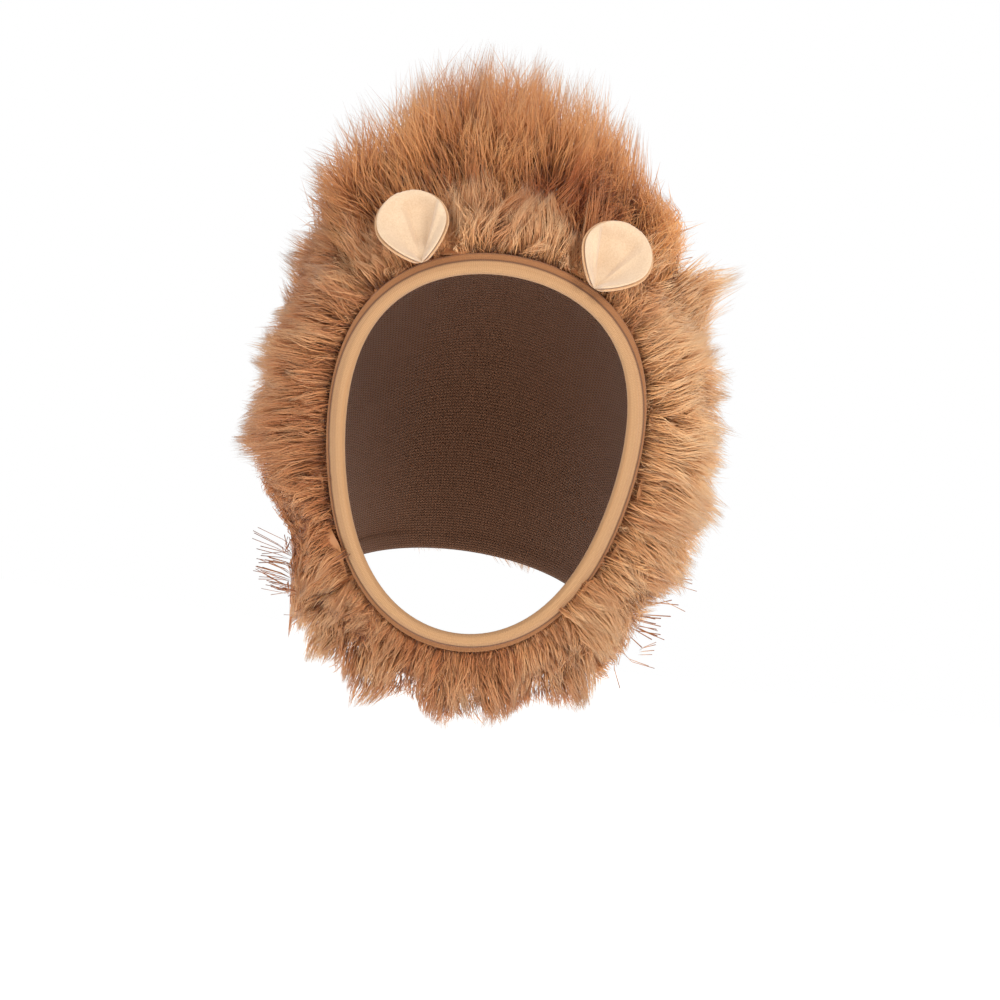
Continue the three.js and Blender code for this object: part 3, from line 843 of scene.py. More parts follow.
@dataclass
class FaceBinding:
    """The knit tape that is folded over the face edge, with its turned seam."""

    node: str = "face_binding"
    slot: str = "knit_tape"
    finish: KnitFinish = KNIT_TAPE
    middle: tuple[float, float, float] = (0.0, -0.0515, -0.1002)
    pitch: float = math.radians(15)
    width: float = 0.006
    sectors: int = 48
    fold_depth: float = 0.0012
    fold_inset: float = 0.0014
    evenings: int = 3
    radius: float = 0.075
    cut: tuple[float, float] = (0.020, 0.46)
    piece: bpy.types.Object = field(init=False)

    def build(self, frame: dict) -> FaceBinding:
        """Makes the tape from its CAD node.


        Returns:
            This sub-assembly.
        """
        self.piece = copy_of([frame["nodes"][self.node]], "binding_tape")
        soften(self.piece, 40, 0.55, 2)
        self.lay_map()
        return self

    def lay_map(self) -> None:
        """Gives the tape a map in metres: from its fold to its seam, and round the opening."""
        mesh = self.piece.data
        offset = corners_of(mesh) - np.array(self.middle)
        up = np.array([0.0, -math.sin(self.pitch), math.cos(self.pitch)])
        out = np.array([0.0, -math.cos(self.pitch), -math.sin(self.pitch)])
        height, width, depth = offset @ up, offset[:, 0], offset @ out
        angle, reach = np.arctan2(width, height), np.hypot(width, height)
        sector, middles = sectors_of(angle, self.sectors)
        inner, outer = np.zeros(self.sectors), np.zeros(self.sectors)
        for i in range(self.sectors):
            own = sector == i
            fold = depth[own] > depth[own].max() - self.fold_depth
            inner[i] = reach[own][fold].mean() - self.fold_inset
            outer[i] = reach[own].max()
        low, high = (
            np.interp(angle, middles, even_ring(edge, self.evenings), period=TURN) for edge in (inner, outer)
        )
        across = self.width * np.clip((reach - low) / (high - low), 0, 1)
        which, turns = unrolled(mesh, angle)
        lay_uv(mesh, CLOTH_MAP, across[which], turns * self.radius)

    def dress(self) -> None:
        dress(self.piece, self.finish, (self.node,))


@dataclass
class Ear:
    """One ear: a cream fleece front and a tan fleece back that shows past it.

    Angles are in degrees, and a crease's angle is counted from straight up at the foot, towards the
    middle of the hood.
    """

    side: Side
    cut: tuple[float, float] = (0.035, 0.034)
    cut_area: float = 0.00083
    tilt: float = 12.0
    leans: tuple[float, float] = (22.0, 26.0)
    foot_height: float = 0.0015
    inner_crease: float = 28.0
    outer_creases: tuple[float, float] = (2.0, 11.0)
    pleat: float = 0.0036
    ridge: float = 0.25
    lobe_end: float = 70.0
    lobe_curl: float = 0.0022
    spread: float = 1.035
    core_height: float = 0.5
    rays: int = 72
    evenings: int = 12
    front: bpy.types.Object = field(init=False)
    back: bpy.types.Object = field(init=False)

    def build(self, frame: dict) -> Ear:
        """Makes both layers from their CAD nodes.


        Returns:
            This sub-assembly.
        """
        self.front = self.layer(frame, "front", 3)
        self.shape(self.front)
        self.back = self.layer(frame, "back", 2)
        self.shape(self.back)
        return self

    def layer(self, frame: dict, which: str, levels: int) -> bpy.types.Object:
        """Makes one layer.

        Args:
            which: front or back.
            levels: How many times each face is cut.

        Returns:
            The layer.
        """
        node = f"{self.side.value}_ear_{which}"
        piece = copy_of([frame["nodes"][node]], f"{node}_cloth")
        soften(piece, 60, 0.1, levels)
        return piece

    def shape(self, piece: bpy.types.Object) -> None:
        """Presses the pleat into a layer, evens its outline and spreads the front.

        Args:
            piece: One layer.
        """
        left = self.side is Side.LEFT
        way = -1 if left else 1
        lean = math.radians(way * self.leans[0 if left else 1])
        tilt = math.radians(-self.tilt)
        axes = np.array(Matrix.Rotation(lean, 3, "Y") @ Matrix.Rotation(tilt, 3, "X"))
        own = corners_of(piece.data) @ axes
        foot = own[:, 2].min()
        middle = own[own[:, 2] < foot + self.foot_height, 0].mean()
        across, up = own[:, 0] - middle, own[:, 2] - foot
        size = up.max()
        angle = np.degrees(np.arctan2(-way * across, up))
        own[:, 1] += self.pressed(angle, np.hypot(across, up) / size, -self.outer_creases[0 if left else 1])
        above = up - self.core_height * size
        grow = self.evened(across, above, size) - 1
        own[:, 0] += grow * across
        own[:, 2] += grow * above
        if piece is self.front:
            own[:, 0] += (self.spread - 1) * (own[:, 0] - middle)
            own[:, 2] += (self.spread - 1) * (own[:, 2] - foot - 0.5 * size)
        piece.data.vertices.foreach_set("co", (own @ axes.T).ravel())
        piece.data.update()

    def pressed(self, angle: np.ndarray, reach: np.ndarray, outer: float) -> np.ndarray:
        """How far the cloth is pressed back between the creases, and curls forward outside them.

        Args:
            angle: Each point's angle from straight up at the foot.
            reach: Its distance from the foot, with the ear's height as 1.
            outer: The outer crease's angle.

        Returns:
            The depth at each point.
        """
        inner = self.inner_crease
        inside = smooth(outer - 7, outer + 3, angle) * (1 - smooth(inner - 2, inner + 1, angle))
        fade = smooth(0.12, 0.4, reach) * (1 - smooth(0.72, 0.93, reach))
        ridge = self.ridge * bell(angle - inner - 3, 4)
        lobe = smooth(inner, self.lobe_end, angle) + smooth(-outer + 10, self.lobe_end, -angle)
        curl = self.lobe_curl * lobe * smooth(0.2, 0.6, reach) * (1 - smooth(0.85, 1.05, reach))
        return self.pleat * fade * (inside - ridge) - curl

    def evened(self, beside: np.ndarray, above: np.ndarray, size: float) -> np.ndarray:
        """How much each point moves out or in, so that the ear's outline is an even curve.

        Args:
            beside: Each point's way across from the ear's core.
            above: Its way up from there.
            size: The ear's height.

        Returns:
            A factor for each point's distance from the core.
        """
        turn, radius = np.arctan2(above, beside), np.hypot(beside, above)
        near, rays = sectors_of(turn, self.rays)
        rim = np.array([radius[near == i].max() if (near == i).any() else np.nan for i in range(self.rays)])
        known = ~np.isnan(rim)
        rim = np.interp(rays, rays[known], rim[known], period=TURN)
        here, even = (
            np.interp(turn, rays, ring, period=TURN) for ring in (rim, even_ring(rim, self.evenings))
        )
        weight = smooth(0.5, 0.95, radius / here) * smooth(-0.1, 0.2, above / size)
        return 1 + (even / here - 1) * weight

    def wall(self) -> tuple[np.ndarray, np.ndarray, float, float]:
        """The plane just behind the ear.

        Returns:
            Its middle, the way it faces towards the fur, the ear's depth past it and its half size.
        """
        places = corners_of(self.back.data)
        middle = places.mean(0)
        way = np.linalg.svd(places - middle, full_matrices=False)[2][2]
        facing = way * (1 if way[1] > 0 else -1)
        depth = ((places - middle) @ facing).max()
        return middle, facing, depth, np.linalg.norm(places - middle, axis=1).max()

    def dress(self) -> None:
        for piece, which, finish, slot in (
            (self.front, "front", EAR_FLEECE, "ear_fleece"),
            (self.back, "back", EAR_BACK_FLEECE, "ear_back_fleece"),
        ):
            dress(piece, finish, (f"{self.side.value}_ear_{which}",))


# Fur

TONE_SPREAD = 0.004  # how much the tone differs between the three sides of a hair
FRONT = (0.03, 0.07)  # the front's patches fade out between these depths
UNDERSIDE = 0.012  # a solid's underside is nearer to the cloth than this
TURNED_IN = -0.6  # and faces it: the cosine between its normal and the cloth's is below this
ROOT_WAVES = ((0.045, 0.8), (0.016, 0.6))  # how long the drifts of rooted hair are, and how strong
TUFT_WAVES = ((0.034, 0.9), (0.013, 0.9))
FLUFF_END = 0.1  # short loose hairs stand up to here along from the face edge
FLUFF_SHARE = 0.5
FLUFF_LENGTHS = (0.004, 0.010)
HAIR_WAVE = 0.0016  # how far a hair waves to a side
HAIR_WAVES = 2.2
SKIN = 0.0012  # a tuft's place is at least this far from the next panel
TIP_CORNERS = 4  # a lock's point has this many corners or more
TIP_SIZE = 0.002  # within this distance
TIP_HEIGHT = 0.018  # and is at least this far from the cloth
TIP_GAP = 0.004  # and from the next lock's point
FAR_SHARE = 0.12  # of the long hairs away from the face edge, against those near it
EDGE_MORE = 5  # and how many more stand right at the edge
EDGE_FADE = (0.05, 0.11)
UPRIGHT_START = 0.75  # a rooted hair's first direction, along the cloth's normal
LEAN_START = 0.45  # and along its comb
SHORTER = 0.42  # how much of its length a rooted hair lacks at most
LOOK_AHEAD = 0.008  # a tuft looks for its lock's point this far along the comb
PAST_TIP = 0.007  # and aims past it by this much
TIP_PULL = 1.3
TIP_REACH = 0.017
STAND_OUT = 0.0032  # how far a tuft's tips stand out of the solid at most
SUNK = 0.0006  # and how far in the shortest end
LONE_SHARE = 0.05  # the share of single hairs that stand out further
LONE_MORE = 0.003
SKIN_OUT = 0.0008
FREE_SHARE = 0.08  # the share of hairs that follow no wisp
FREE_PULL = 0.1
EAR_GAP = 0.0014
HALF_MANE = 0.1
# The side term paints light: the hair on the viewer's right is made paler and on the left deeper, as the key
# light falls from the right.
BROAD_TONE, FINE_TONE, PAINTED_SIDE_LIGHT = 0.08, 0.07, 0.14  # how far the tone changes with the place
LOCK_TONE, WISP_TONE, HAIR_TONE = 0.08, 0.09, 0.06  # and from lock to lock, wisp to wisp and hair to hair


@dataclass
class Strands:
    """Many hairs, as points along each: rows of hairs, then places along them, then x, y and z."""

    points: np.ndarray
    tone: np.ndarray
    thickness: np.ndarray
    stations: np.ndarray
    taper: np.ndarray

    def mesh(self, name: str, rng: np.random.Generator) -> bpy.types.Mesh:
        """Skins every hair as a thin closed spike with three sides.

        Args:
            name: The mesh's name.
            rng: Where the spikes' turns come from.

        Returns:
            The mesh, with a map that holds each hair's tone across and its length up.
        """
        count, rings = self.points.shape[0], self.points.shape[1] - 1
        tangent = unit(np.gradient(self.points, axis=1))
        reference = unit(rng.normal(size=(count, 1, 3)))
        side = unit(np.cross(tangent, reference))
        other = np.cross(tangent, side)
        turns = 2 * math.pi * np.arange(3) / 3
        radius = self.thickness[:, None] * self.taper[None, :rings]
        shape = (
            self.points[:, :rings, None, :]
            + radius[..., None, None] * np.cos(turns)[None, None, :, None] * side[:, :rings, None, :]
            + radius[..., None, None] * np.sin(turns)[None, None, :, None] * other[:, :rings, None, :]
        )
        each = rings * 3 + 1
        corners = np.concatenate([shape.reshape(count, rings * 3, 3), self.points[:, rings:, :]], axis=1)
        faces: list[list[int]] = [[0, 2, 1]]
        for ring in range(rings - 1):
            for k in range(3):
                a, b = ring * 3 + k, ring * 3 + (k + 1) % 3
                faces.append([a, b, b + 3, a + 3])
        last = (rings - 1) * 3
        faces += [[last + k, last + (k + 1) % 3, each - 1] for k in range(3)]
        sizes = np.array([len(f) for f in faces])
        flat = np.concatenate([np.array(f) for f in faces])
        loops = (flat[None, :] + each * np.arange(count)[:, None]).ravel()
        mesh = bpy.data.meshes.new(name)
        mesh.vertices.add(count * each)
        mesh.vertices.foreach_set("co", corners.astype(np.float32).ravel())
        mesh.loops.add(len(loops))
        mesh.loops.foreach_set("vertex_index", loops.astype(np.int32))
        mesh.polygons.add(count * len(faces))
        all_sizes = np.tile(sizes, count)
        starts = np.concatenate([[0], np.cumsum(all_sizes)[:-1]])
        mesh.polygons.foreach_set("loop_start", starts.astype(np.int32))
        mesh.update(calc_edges=True)
        mesh.polygons.foreach_set("use_smooth", np.ones(count * len(faces), bool))
        up = np.concatenate([np.repeat(self.stations[:rings], 3), self.stations[rings:]])
        across = np.concatenate([np.tile([-TONE_SPREAD, 0.0, TONE_SPREAD], rings), [0.0]])
        tone = self.tone[:, None] + across[flat][None, :]
        lay_uv(mesh, FUR_MAP, tone.ravel(), np.tile(up[flat], count))
        mesh.validate()
        return mesh


@dataclass(frozen=True)
class Patch:
    """A place on the front of the mane where the hair is paler or deeper than around it: some are painted
    shadow and painted light, some the fur's own tone.
    """

    across: float
    up: float
    half_width: float
    half_height: float
    change: float

    def at(self, points: np.ndarray) -> np.ndarray:
        """The change of tone at each of many points."""
        wide = (points[:, 0] - self.across) / self.half_width
        high = (points[:, 2] - self.up) / self.half_height
        front = 1 - smooth(*FRONT, points[:, 1])
        return self.change * front * np.exp(-(wide * wide) - high * high)


# Painted shadow, painted light and the fur's own tone. The deepest patch is a painted shadow in the pocket
# where the crest rises behind the brow, at its front right; the paler patch out on the right is painted
# light, and the deeper one low on the left is painted shade. The others make the fur paler or deeper in
# places.
SHADE_LIGHT_AND_TONE_PATCHES = (
    Patch(0.021, 0.017, 0.018, 0.013, -0.75),
    Patch(0.036, 0.006, 0.010, 0.012, -0.35),
    Patch(0.015, 0.000, 0.008, 0.010, 0.30),
    Patch(-0.021, -0.003, 0.008, 0.010, 0.28),
    Patch(-0.040, 0.030, 0.030, 0.012, 0.12),
    Patch(0.090, -0.060, 0.030, 0.050, 0.14),
    Patch(0.074, 0.000, 0.018, 0.018, 0.35),
    Patch(0.0, -0.018, 0.034, 0.018, 0.30),
    Patch(-0.090, -0.150, 0.040, 0.030, -0.14),
    Patch(0.0, -0.185, 0.030, 0.012, -0.35),
    Patch(-0.055, -0.185, 0.025, 0.025, 0.22),
)


@dataclass(frozen=True)
class Coat:
    """One layer of a panel's hair."""

    stations: tuple[float, ...]
    taper: tuple[float, ...]
    hairs_per_wisp: int
    wisp_pull: float
    curl: float
    stray: float
    start: float = 0.0
    thickness: float = 0.00019
    hairs: int = 0


LONG_COAT = Coat((0.0, 0.3, 0.65, 1.0), (1.0, 0.95, 0.68, 0.0), 14, 0.78, curl=0.32, stray=0.09)
UPPER_COAT = Coat((0.0, 0.55, 1.0), (1.0, 0.85, 0.0), 12, 0.75, curl=0.36, stray=0.13, start=0.48)
TUFT_COAT = Coat((0.0, 0.55, 1.0), (1.0, 0.85, 0.0), 11, 0.7, curl=0.4, stray=0.15)


@dataclass
class Rooting:
    """Where hairs leave the cloth and how they are combed there."""

    roots: np.ndarray
    normals: np.ndarray
    lean: np.ndarray
    length: np.ndarray
    along: np.ndarray


@dataclass(frozen=True)
class Ground:
    """What one panel's hair grows from: its solid, the cloth, its locks' points and the solids round it."""

    node: bpy.types.Object
    cloth: HoodCloth
    tips: KDTree
    forms: BVHTree
    others: BVHTree
    rng: np.random.Generator


@dataclass
class FurPanel:
    """One panel of fur: long hairs from its cloth, tufts all over its outer form, and a dark core of painted
    shade deep in the fur.
    """

    name: str
    seed: int
    tone: float
    long: Coat
    upper: Coat
    tufts: Coat
    slot: str = "mane_fur"
    finish: FurFinish = MANE_FUR
    tuft_length: float = 0.019
    long_until: float = 0.32
    core: float = 0.6
    reach_out: float = 0.006
    top_reach: float = 0.0
    tuft_until: float = 0.86
    tuft_edge: float = 0.84
    overshoot: float = 1.05
    lock_pull: float = 0.5
    lock_reach: float = 0.022
    droop: float = 0.05
    hairs_per_lock: int = 85
    lock_gather: float = 0.34
    lock_variety: float = 0.22
    crown: tuple[float, float] = (0.0, 0.0)
    upright: float = 0.0
    squeeze: tuple[float, float] = (1.0, 0.0)
    rise: float = 0.0
    peaks: tuple[tuple[float, float], ...] = ()
    peak_width: float = 0.009
    ceiling: float = 0.072
    ceiling_give: float = 0.011
    low_edge: float = -0.125
    tuck: tuple[float, float] = (0.5, 0.0)
    tuck_from: float = -0.165
    tuck_fade: float = 0.035
    tuck_width: float = 0.065
    piece: bpy.types.Object = field(init=False)

    def rooting(self, points: np.ndarray, cloth: HoodCloth) -> Rooting:
        """Follows the comb back from points in the fur to the cloth.

        Args:
            points: Rows of x, y and z.
            cloth: The hood's cloth.

        Returns:
            Where each is rooted.
        """
        back = points
        for _ in range(3):
            roots, normals, _ = nearest_on(cloth.surface, back)
            around, along = cloth.map.locate(roots)
            comb = combed(around, along)
            right = self.upright * smooth(0.015, 0.06, roots[:, 0])
            bend = np.column_stack([comb["across"] - right, -comb["forward"], -comb["fall"] + 0.6 * right])
            bend[:, 2] += self.rise * smooth(-0.075, -0.03, roots[:, 2])
            lean = unit(normals + bend)
            steep = np.maximum(dots(lean, normals), 0.35)
            back = points - lean * (dots(points - roots, normals) / steep)[:, None]
        return Rooting(roots, normals, lean, comb["length"], along)

    def lock_tips(self, node: bpy.types.Object, cloth: HoodCloth) -> KDTree:
        """The points of the locks of the panel's solid, where several corners lie close together.

        Args:
            node: The panel's CAD node.
            cloth: The hood's cloth.

        Returns:
            A tree with one place for each lock.
        """
        places = np.unique(np.round(corners_of(node.data), 6), axis=0)
        near_tree = tree_of(places)
        tips: list[np.ndarray] = []
        for place in places:
            near = [np.array(found[0]) for found in near_tree.find_range(place, TIP_SIZE)]
            if len(near) < TIP_CORNERS or cloth.surface.find_nearest(Vector(place))[3] < TIP_HEIGHT:
                continue
            middle = np.mean(near, axis=0)
            if all(np.linalg.norm(middle - tip) > TIP_GAP for tip in tips):
                tips.append(middle)
        return tree_of(np.array(tips))

    def grow_rooted(self, ground: Ground, coat: Coat, edge_only: bool) -> Strands:
        """Grows hairs that are rooted in the cloth, or the upper part of them.

        Args:
            ground: What the hair grows from.
            coat: The layer.
            edge_only: Whether most of them stand near the face edge.

        Returns:
            The hairs.
        """
        cloth, rng, count = ground.cloth, ground.rng, coat.hairs
        triangles, normal, area = surface_of(ground.node)
        centres = triangles.mean(1)
        _, outward, distance = nearest_on(cloth.surface, centres)
        weights = np.where((distance < UNDERSIDE) & (dots(outward, normal) < TURNED_IN), area, 0.0)
        if edge_only:
            _, along = cloth.map.locate(centres)
            near_edge = 1 - smooth(self.long_until * 0.4, self.long_until, along)
            weights *= FAR_SHARE + (1 - FAR_SHARE) * near_edge
            weights *= 1 + EDGE_MORE * (1 - smooth(*EDGE_FADE, along))
        places, _ = scatter(triangles, weights, count, rng)
        at = self.rooting(places, cloth)
        drift = sum(strength * flow(at.roots, rng, wave) for wave, strength in ROOT_WAVES)
        final = unit(at.lean + coat.curl * drift + coat.stray * rng.normal(size=(count, 3)))
        first = unit(UPRIGHT_START * at.normals + LEAN_START * at.lean + 0.1 * rng.normal(size=(count, 3)))
        shorter = 1 - SHORTER * rng.random(count) ** 2.0
        length = at.length * shorter * rng.uniform(0.97, self.overshoot, count)
        if edge_only:
            fluff = (at.along < FLUFF_END) & (rng.random(count) < FLUFF_SHARE)
            inward = unit(np.array(FACE_MIDDLE) - at.roots) + np.array([0.0, -0.5, 0.0])
            inward *= rng.uniform(-0.5, 0.9, (count, 1))
            short = unit(0.9 * at.normals + inward + 0.3 * at.lean + 0.3 * rng.normal(size=(count, 3)))
            final = np.where(fluff[:, None], short, final)
            first = np.where(fluff[:, None], unit(at.normals + 0.5 * short), first)
            length = np.where(fluff, rng.uniform(*FLUFF_LENGTHS, count), length)
        crown = bell(at.roots[:, 0] - self.crown[0], 0.045) * bell(at.roots[:, 1] - 0.02, 0.05)
        length *= 1 + self.crown[1] * crown
        covered = smooth(0.0, 0.13, at.along) * (1 - smooth(0.78, 0.95, at.along))
        begin = (coat.start * covered)[:, None, None]
        t = begin + (1 - begin) * np.array(coat.stations)[None, :, None]
        late = t * t - t**3 / 3
        reach = length[:, None, None]
        points = at.roots[:, None, :] + reach * (first[:, None, :] * (t - late) + final[:, None, :] * late)
        points[..., 2] -= (reach * self.droop * t * t)[..., 0]
        target, _, distance = nearest_of(ground.tips, points[:, -1])
        pull = self.lock_pull * bell(distance, self.lock_reach) * rng.uniform(0.3, 1.3, count)
        points += (pull[:, None] * (target - points[:, -1]))[:, None, :] * t**1.5
        side = unit(np.cross(final, rng.normal(size=(count, 3)))) * (HAIR_WAVE * rng.normal(size=(count, 1)))
        points += side[:, None, :] * np.sin(HAIR_WAVES * math.pi * t)
        return self.strands(points, at.roots, coat, ground)

    def near_form(self, points: np.ndarray, ground: Ground) -> np.ndarray:
        """Shortens hairs that reach too far out of the solids.

        Args:
            points: The hairs' points.
            ground: What the hair grows from.

        Returns:
            The points, drawn back towards each hair's start.
        """
        tips, starts = points[:, -1], points[:, :1]
        near, facing, far = nearest_on(ground.forms, tips)
        middle = bell(tips[:, 0] - self.crown[0], 0.04)
        away = (dots(tips - near, facing) > 0) | (tips[:, 2] < self.low_edge)
        far = np.where(away, far, 0.0)
        free = self.reach_out + self.top_reach * smooth(0.02, 0.06, tips[:, 2]) * (0.25 + 0.75 * middle)
        free = free * ground.rng.uniform(0.6, 1.1, len(tips))
        free = free * (0.15 + 0.85 * smooth(-0.16, -0.12, tips[:, 2]))
        span = np.linalg.norm(tips - starts[:, 0], axis=1)
        share = np.clip(1 - np.maximum(far - free, 0) / np.maximum(span, 1e-6), 0.1, 1.0)
        return starts + (points - starts) * share[:, None, None]

    def grow_tufts(self, ground: Ground) -> Strands:
        """Grows the hairs that come out through the panel's outer form.

        Args:
            ground: What the hair grows from.

        Returns:
            The hairs.
        """
        coat, cloth, rng = self.tufts, ground.cloth, ground.rng
        triangles, normal, area = surface_of(ground.node)
        high = nearest_on(cloth.surface, triangles.mean(1))[2]
        places, chosen = scatter(triangles, area * smooth(0.001, 0.004, high), coat.hairs * 2, rng)
        facing = normal[chosen]
        free = nearest_on(ground.others, places + SKIN_OUT * facing)[2] > SKIN
        keep = np.flatnonzero(free)[: coat.hairs]
        places, facing = places[keep], facing[keep]
        count = len(places)
        at = self.rooting(places, cloth)
        target, _, distance = nearest_of(ground.tips, places + LOOK_AHEAD * at.lean)
        toward = unit(target + PAST_TIP * at.lean - places)
        drift = sum(strength * flow(places, rng, wave) for wave, strength in TUFT_WAVES)
        base = at.lean + TIP_PULL * bell(distance, TIP_REACH)[:, None] * toward
        final = unit(base + coat.curl * drift + 0.25 * facing + coat.stray * rng.normal(size=(count, 3)))
        first = unit(base + 0.35 * coat.curl * drift)
        room = np.linalg.norm(places - at.roots, axis=1)
        sound = (room < self.tuft_until * at.length) & (at.along < self.tuft_edge)
        length = np.minimum(self.tuft_length * rng.uniform(0.7, 1.25, count), 0.004 + 0.95 * room)[:, None]
        over = STAND_OUT * rng.random((count, 1)) ** 1.4 - SUNK
        over[rng.random(count) < LONE_SHARE] += LONE_MORE
        crown = bell(places[:, :1] - self.crown[0], 0.035) * smooth(0.03, 0.055, places[:, 2:])
        over += 0.75 * self.top_reach * crown * rng.uniform(0.3, 1.0, (count, 1))
        tip = places + final * over
        start = places - first * length * 0.85 - facing * 0.0022 * rng.uniform(0.4, 1.4, (count, 1))
        bend = start + first * length * 0.5
        t = np.array(coat.stations)[None, :, None]
        start, bend, tip = (place[:, None, :] for place in (start, bend, tip))
        points = (1 - t) ** 2 * start + 2 * t * (1 - t) * bend + t * t * tip
        return self.strands(points[sound], places[sound], coat, ground)

    def strands(self, points: np.ndarray, places: np.ndarray, coat: Coat, ground: Ground) -> Strands:
        """Draws neighbouring hairs into locks and then wisps, and gives each its tone and thickness.

        Args:
            points: The hairs' points.
            places: Where the hairs are, which tells neighbours.
            coat: Their layer.
            ground: What the hair grows from.

        Returns:
            The hairs.
        """
        rng, count = ground.rng, len(places)
        t = np.linspace(0, 1, points.shape[1])[None, :, None]
        chosen = rng.choice(count, max(6, count // self.hairs_per_lock), replace=False)
        lock = nearest_of(tree_of(places[chosen]), places)[1]
        locks = len(chosen)
        longer = 1 + self.lock_variety * rng.uniform(-1.0, 0.6, locks)[lock]
        span = np.linalg.norm(points[:, -1] - points[:, 0], axis=1)
        swing = (self.lock_variety * 0.55 * rng.normal(size=(locks, 3)))[lock] * span[:, None]
        start = points[:, :1]
        points = start + (points - start) * (1 + (longer[:, None, None] - 1) * t) + swing[:, None, :] * t**1.6
        pull = self.lock_gather * rng.uniform(0.5, 1.2, count)
        points = points + pull[:, None, None] * t**1.6 * (points[chosen][lock] - points)
        points = self.near_form(points, ground)
        self.press(points, t[..., 0])
        chosen = rng.choice(count, max(8, count // coat.hairs_per_wisp), replace=False)
        wisp = nearest_of(tree_of(places[chosen]), places)[1]
        pull = coat.wisp_pull * rng.uniform(0.45, 1.15, count)
        pull[rng.random(count) < FREE_SHARE] *= FREE_PULL
        pull = np.clip(pull, 0, 0.97)[:, None, None]
        points = points + pull * t**1.2 * (points[chosen][wisp] - points)
        patches = flow(places, rng, 0.05)[:, 0] * BROAD_TONE + flow(places, rng, 0.018)[:, 1] * FINE_TONE
        # Painted light: paler hair on the viewer's right and deeper on the left.
        side = PAINTED_SIDE_LIGHT * np.clip(places[:, 0] / HALF_MANE, -1, 1)
        # The patches paint shadow and light in places on the front, along with the fur's own tone.
        shade_light_and_tone = sum(patch.at(points[:, points.shape[1] // 2]) for patch in SHADE_LIGHT_AND_TONE_PATCHES)
        own = rng.normal(size=len(chosen))[wisp] * WISP_TONE + rng.normal(size=count) * HAIR_TONE
        own = own + rng.normal(size=locks)[lock] * LOCK_TONE
        tone = np.clip(self.tone + side + patches + shade_light_and_tone + own, 0.02, 0.98)
        thickness = coat.thickness * rng.uniform(0.7, 1.25, count)
        return Strands(points, tone, thickness, np.array(coat.stations), np.array(coat.taper))

    def press(self, points: np.ndarray, t: np.ndarray) -> None:
        """Moves hairs in place: in at the crest's side, up into peaks, and in below the mane's lower edge.

        Args:
            points: The hairs' points.
            t: How far along its hair each of them is.
        """
        more = 0.4 + 0.6 * t
        beyond = np.maximum(points[..., 0] - self.squeeze[0], 0) * smooth(0.014, 0.030, points[..., 2])
        points[..., 0] -= self.squeeze[1] * beyond * more
        for across, rise in self.peaks:
            off = points[:, -1, 0] - across
            near = bell(off, self.peak_width) * smooth(0.015, 0.04, points[:, -1, 2])
            near = near[:, None] * t**2
            points[..., 2] += rise * near
            points[..., 0] -= 0.45 * off[:, None] * near
        over = np.maximum(points[..., 2] - self.ceiling, 0)
        points[..., 2] += self.ceiling_give * np.tanh(over / self.ceiling_give) - over
        low = 1 - smooth(self.tuck_from, self.tuck_from + self.tuck_fade, points[..., 2])
        side = np.where(points[..., 0] < 0, -self.tuck[0], self.tuck[1])
        wide = np.maximum(np.abs(points[..., 0]) - self.tuck_width, 0)
        points[..., 0] -= side * wide * low * more

    def behind(self, strands: Strands, ear: Ear) -> None:
        """Keeps hairs from passing through an ear.

        Args:
            strands: The hairs.
            ear: The ear.
        """
        middle, facing, past, half = ear.wall()
        offset = strands.points - middle
        depth = offset @ facing
        flat = np.linalg.norm(offset - depth[..., None] * facing, axis=-1)
        near = 1 - smooth(half * 0.98, half * 1.2, flat)
        short = np.maximum(past + EAR_GAP - depth, 0) * near
        strands.points = strands.points + short[..., None] * facing

    def painted_shade_core(self, ground: Ground) -> bpy.types.Object:
        """A dark sheet between the hairs, painted shade deep in the fur: the panel's solid, drawn in towards
        the cloth.

        Args:
            ground: What the hair grows from.

        Returns:
            The core.
        """
        piece = copy_of([ground.node], "core")
        places = corners_of(piece.data)
        at = self.rooting(places, ground.cloth)
        reach = np.linalg.norm(places - at.roots, axis=1, keepdims=True)
        most = 0.3 * at.length[:, None]
        share = np.minimum(self.core, most / np.maximum(reach, 1e-6))
        share = share * (0.45 + 0.55 * smooth(0.03, 0.14, at.along))[:, None]
        drawn = at.roots + (places - at.roots) * np.where(reach > 0.002, share, 1.0)
        piece.data.vertices.foreach_set("co", drawn.ravel())
        rng = np.random.default_rng(self.seed + 2)
        # Painted shade: the core takes the colours near the hairs' dark roots. Near the face edge it is drawn
        # closer to the cloth and a little paler.
        edge = 1 - smooth(0.05, 0.16, at.along)
        tone = np.clip(0.1 + 0.3 * edge + 0.06 * rng.normal(size=len(places)), 0.02, 0.5)
        height = np.clip(0.1 * reach[:, 0] / 0.03 + 0.14 * edge, 0.01, 0.2)
        which = numbers_of(piece.data.loops, "vertex_index")
        lay_uv(piece.data, FUR_MAP, tone[which], height[which])
        return piece

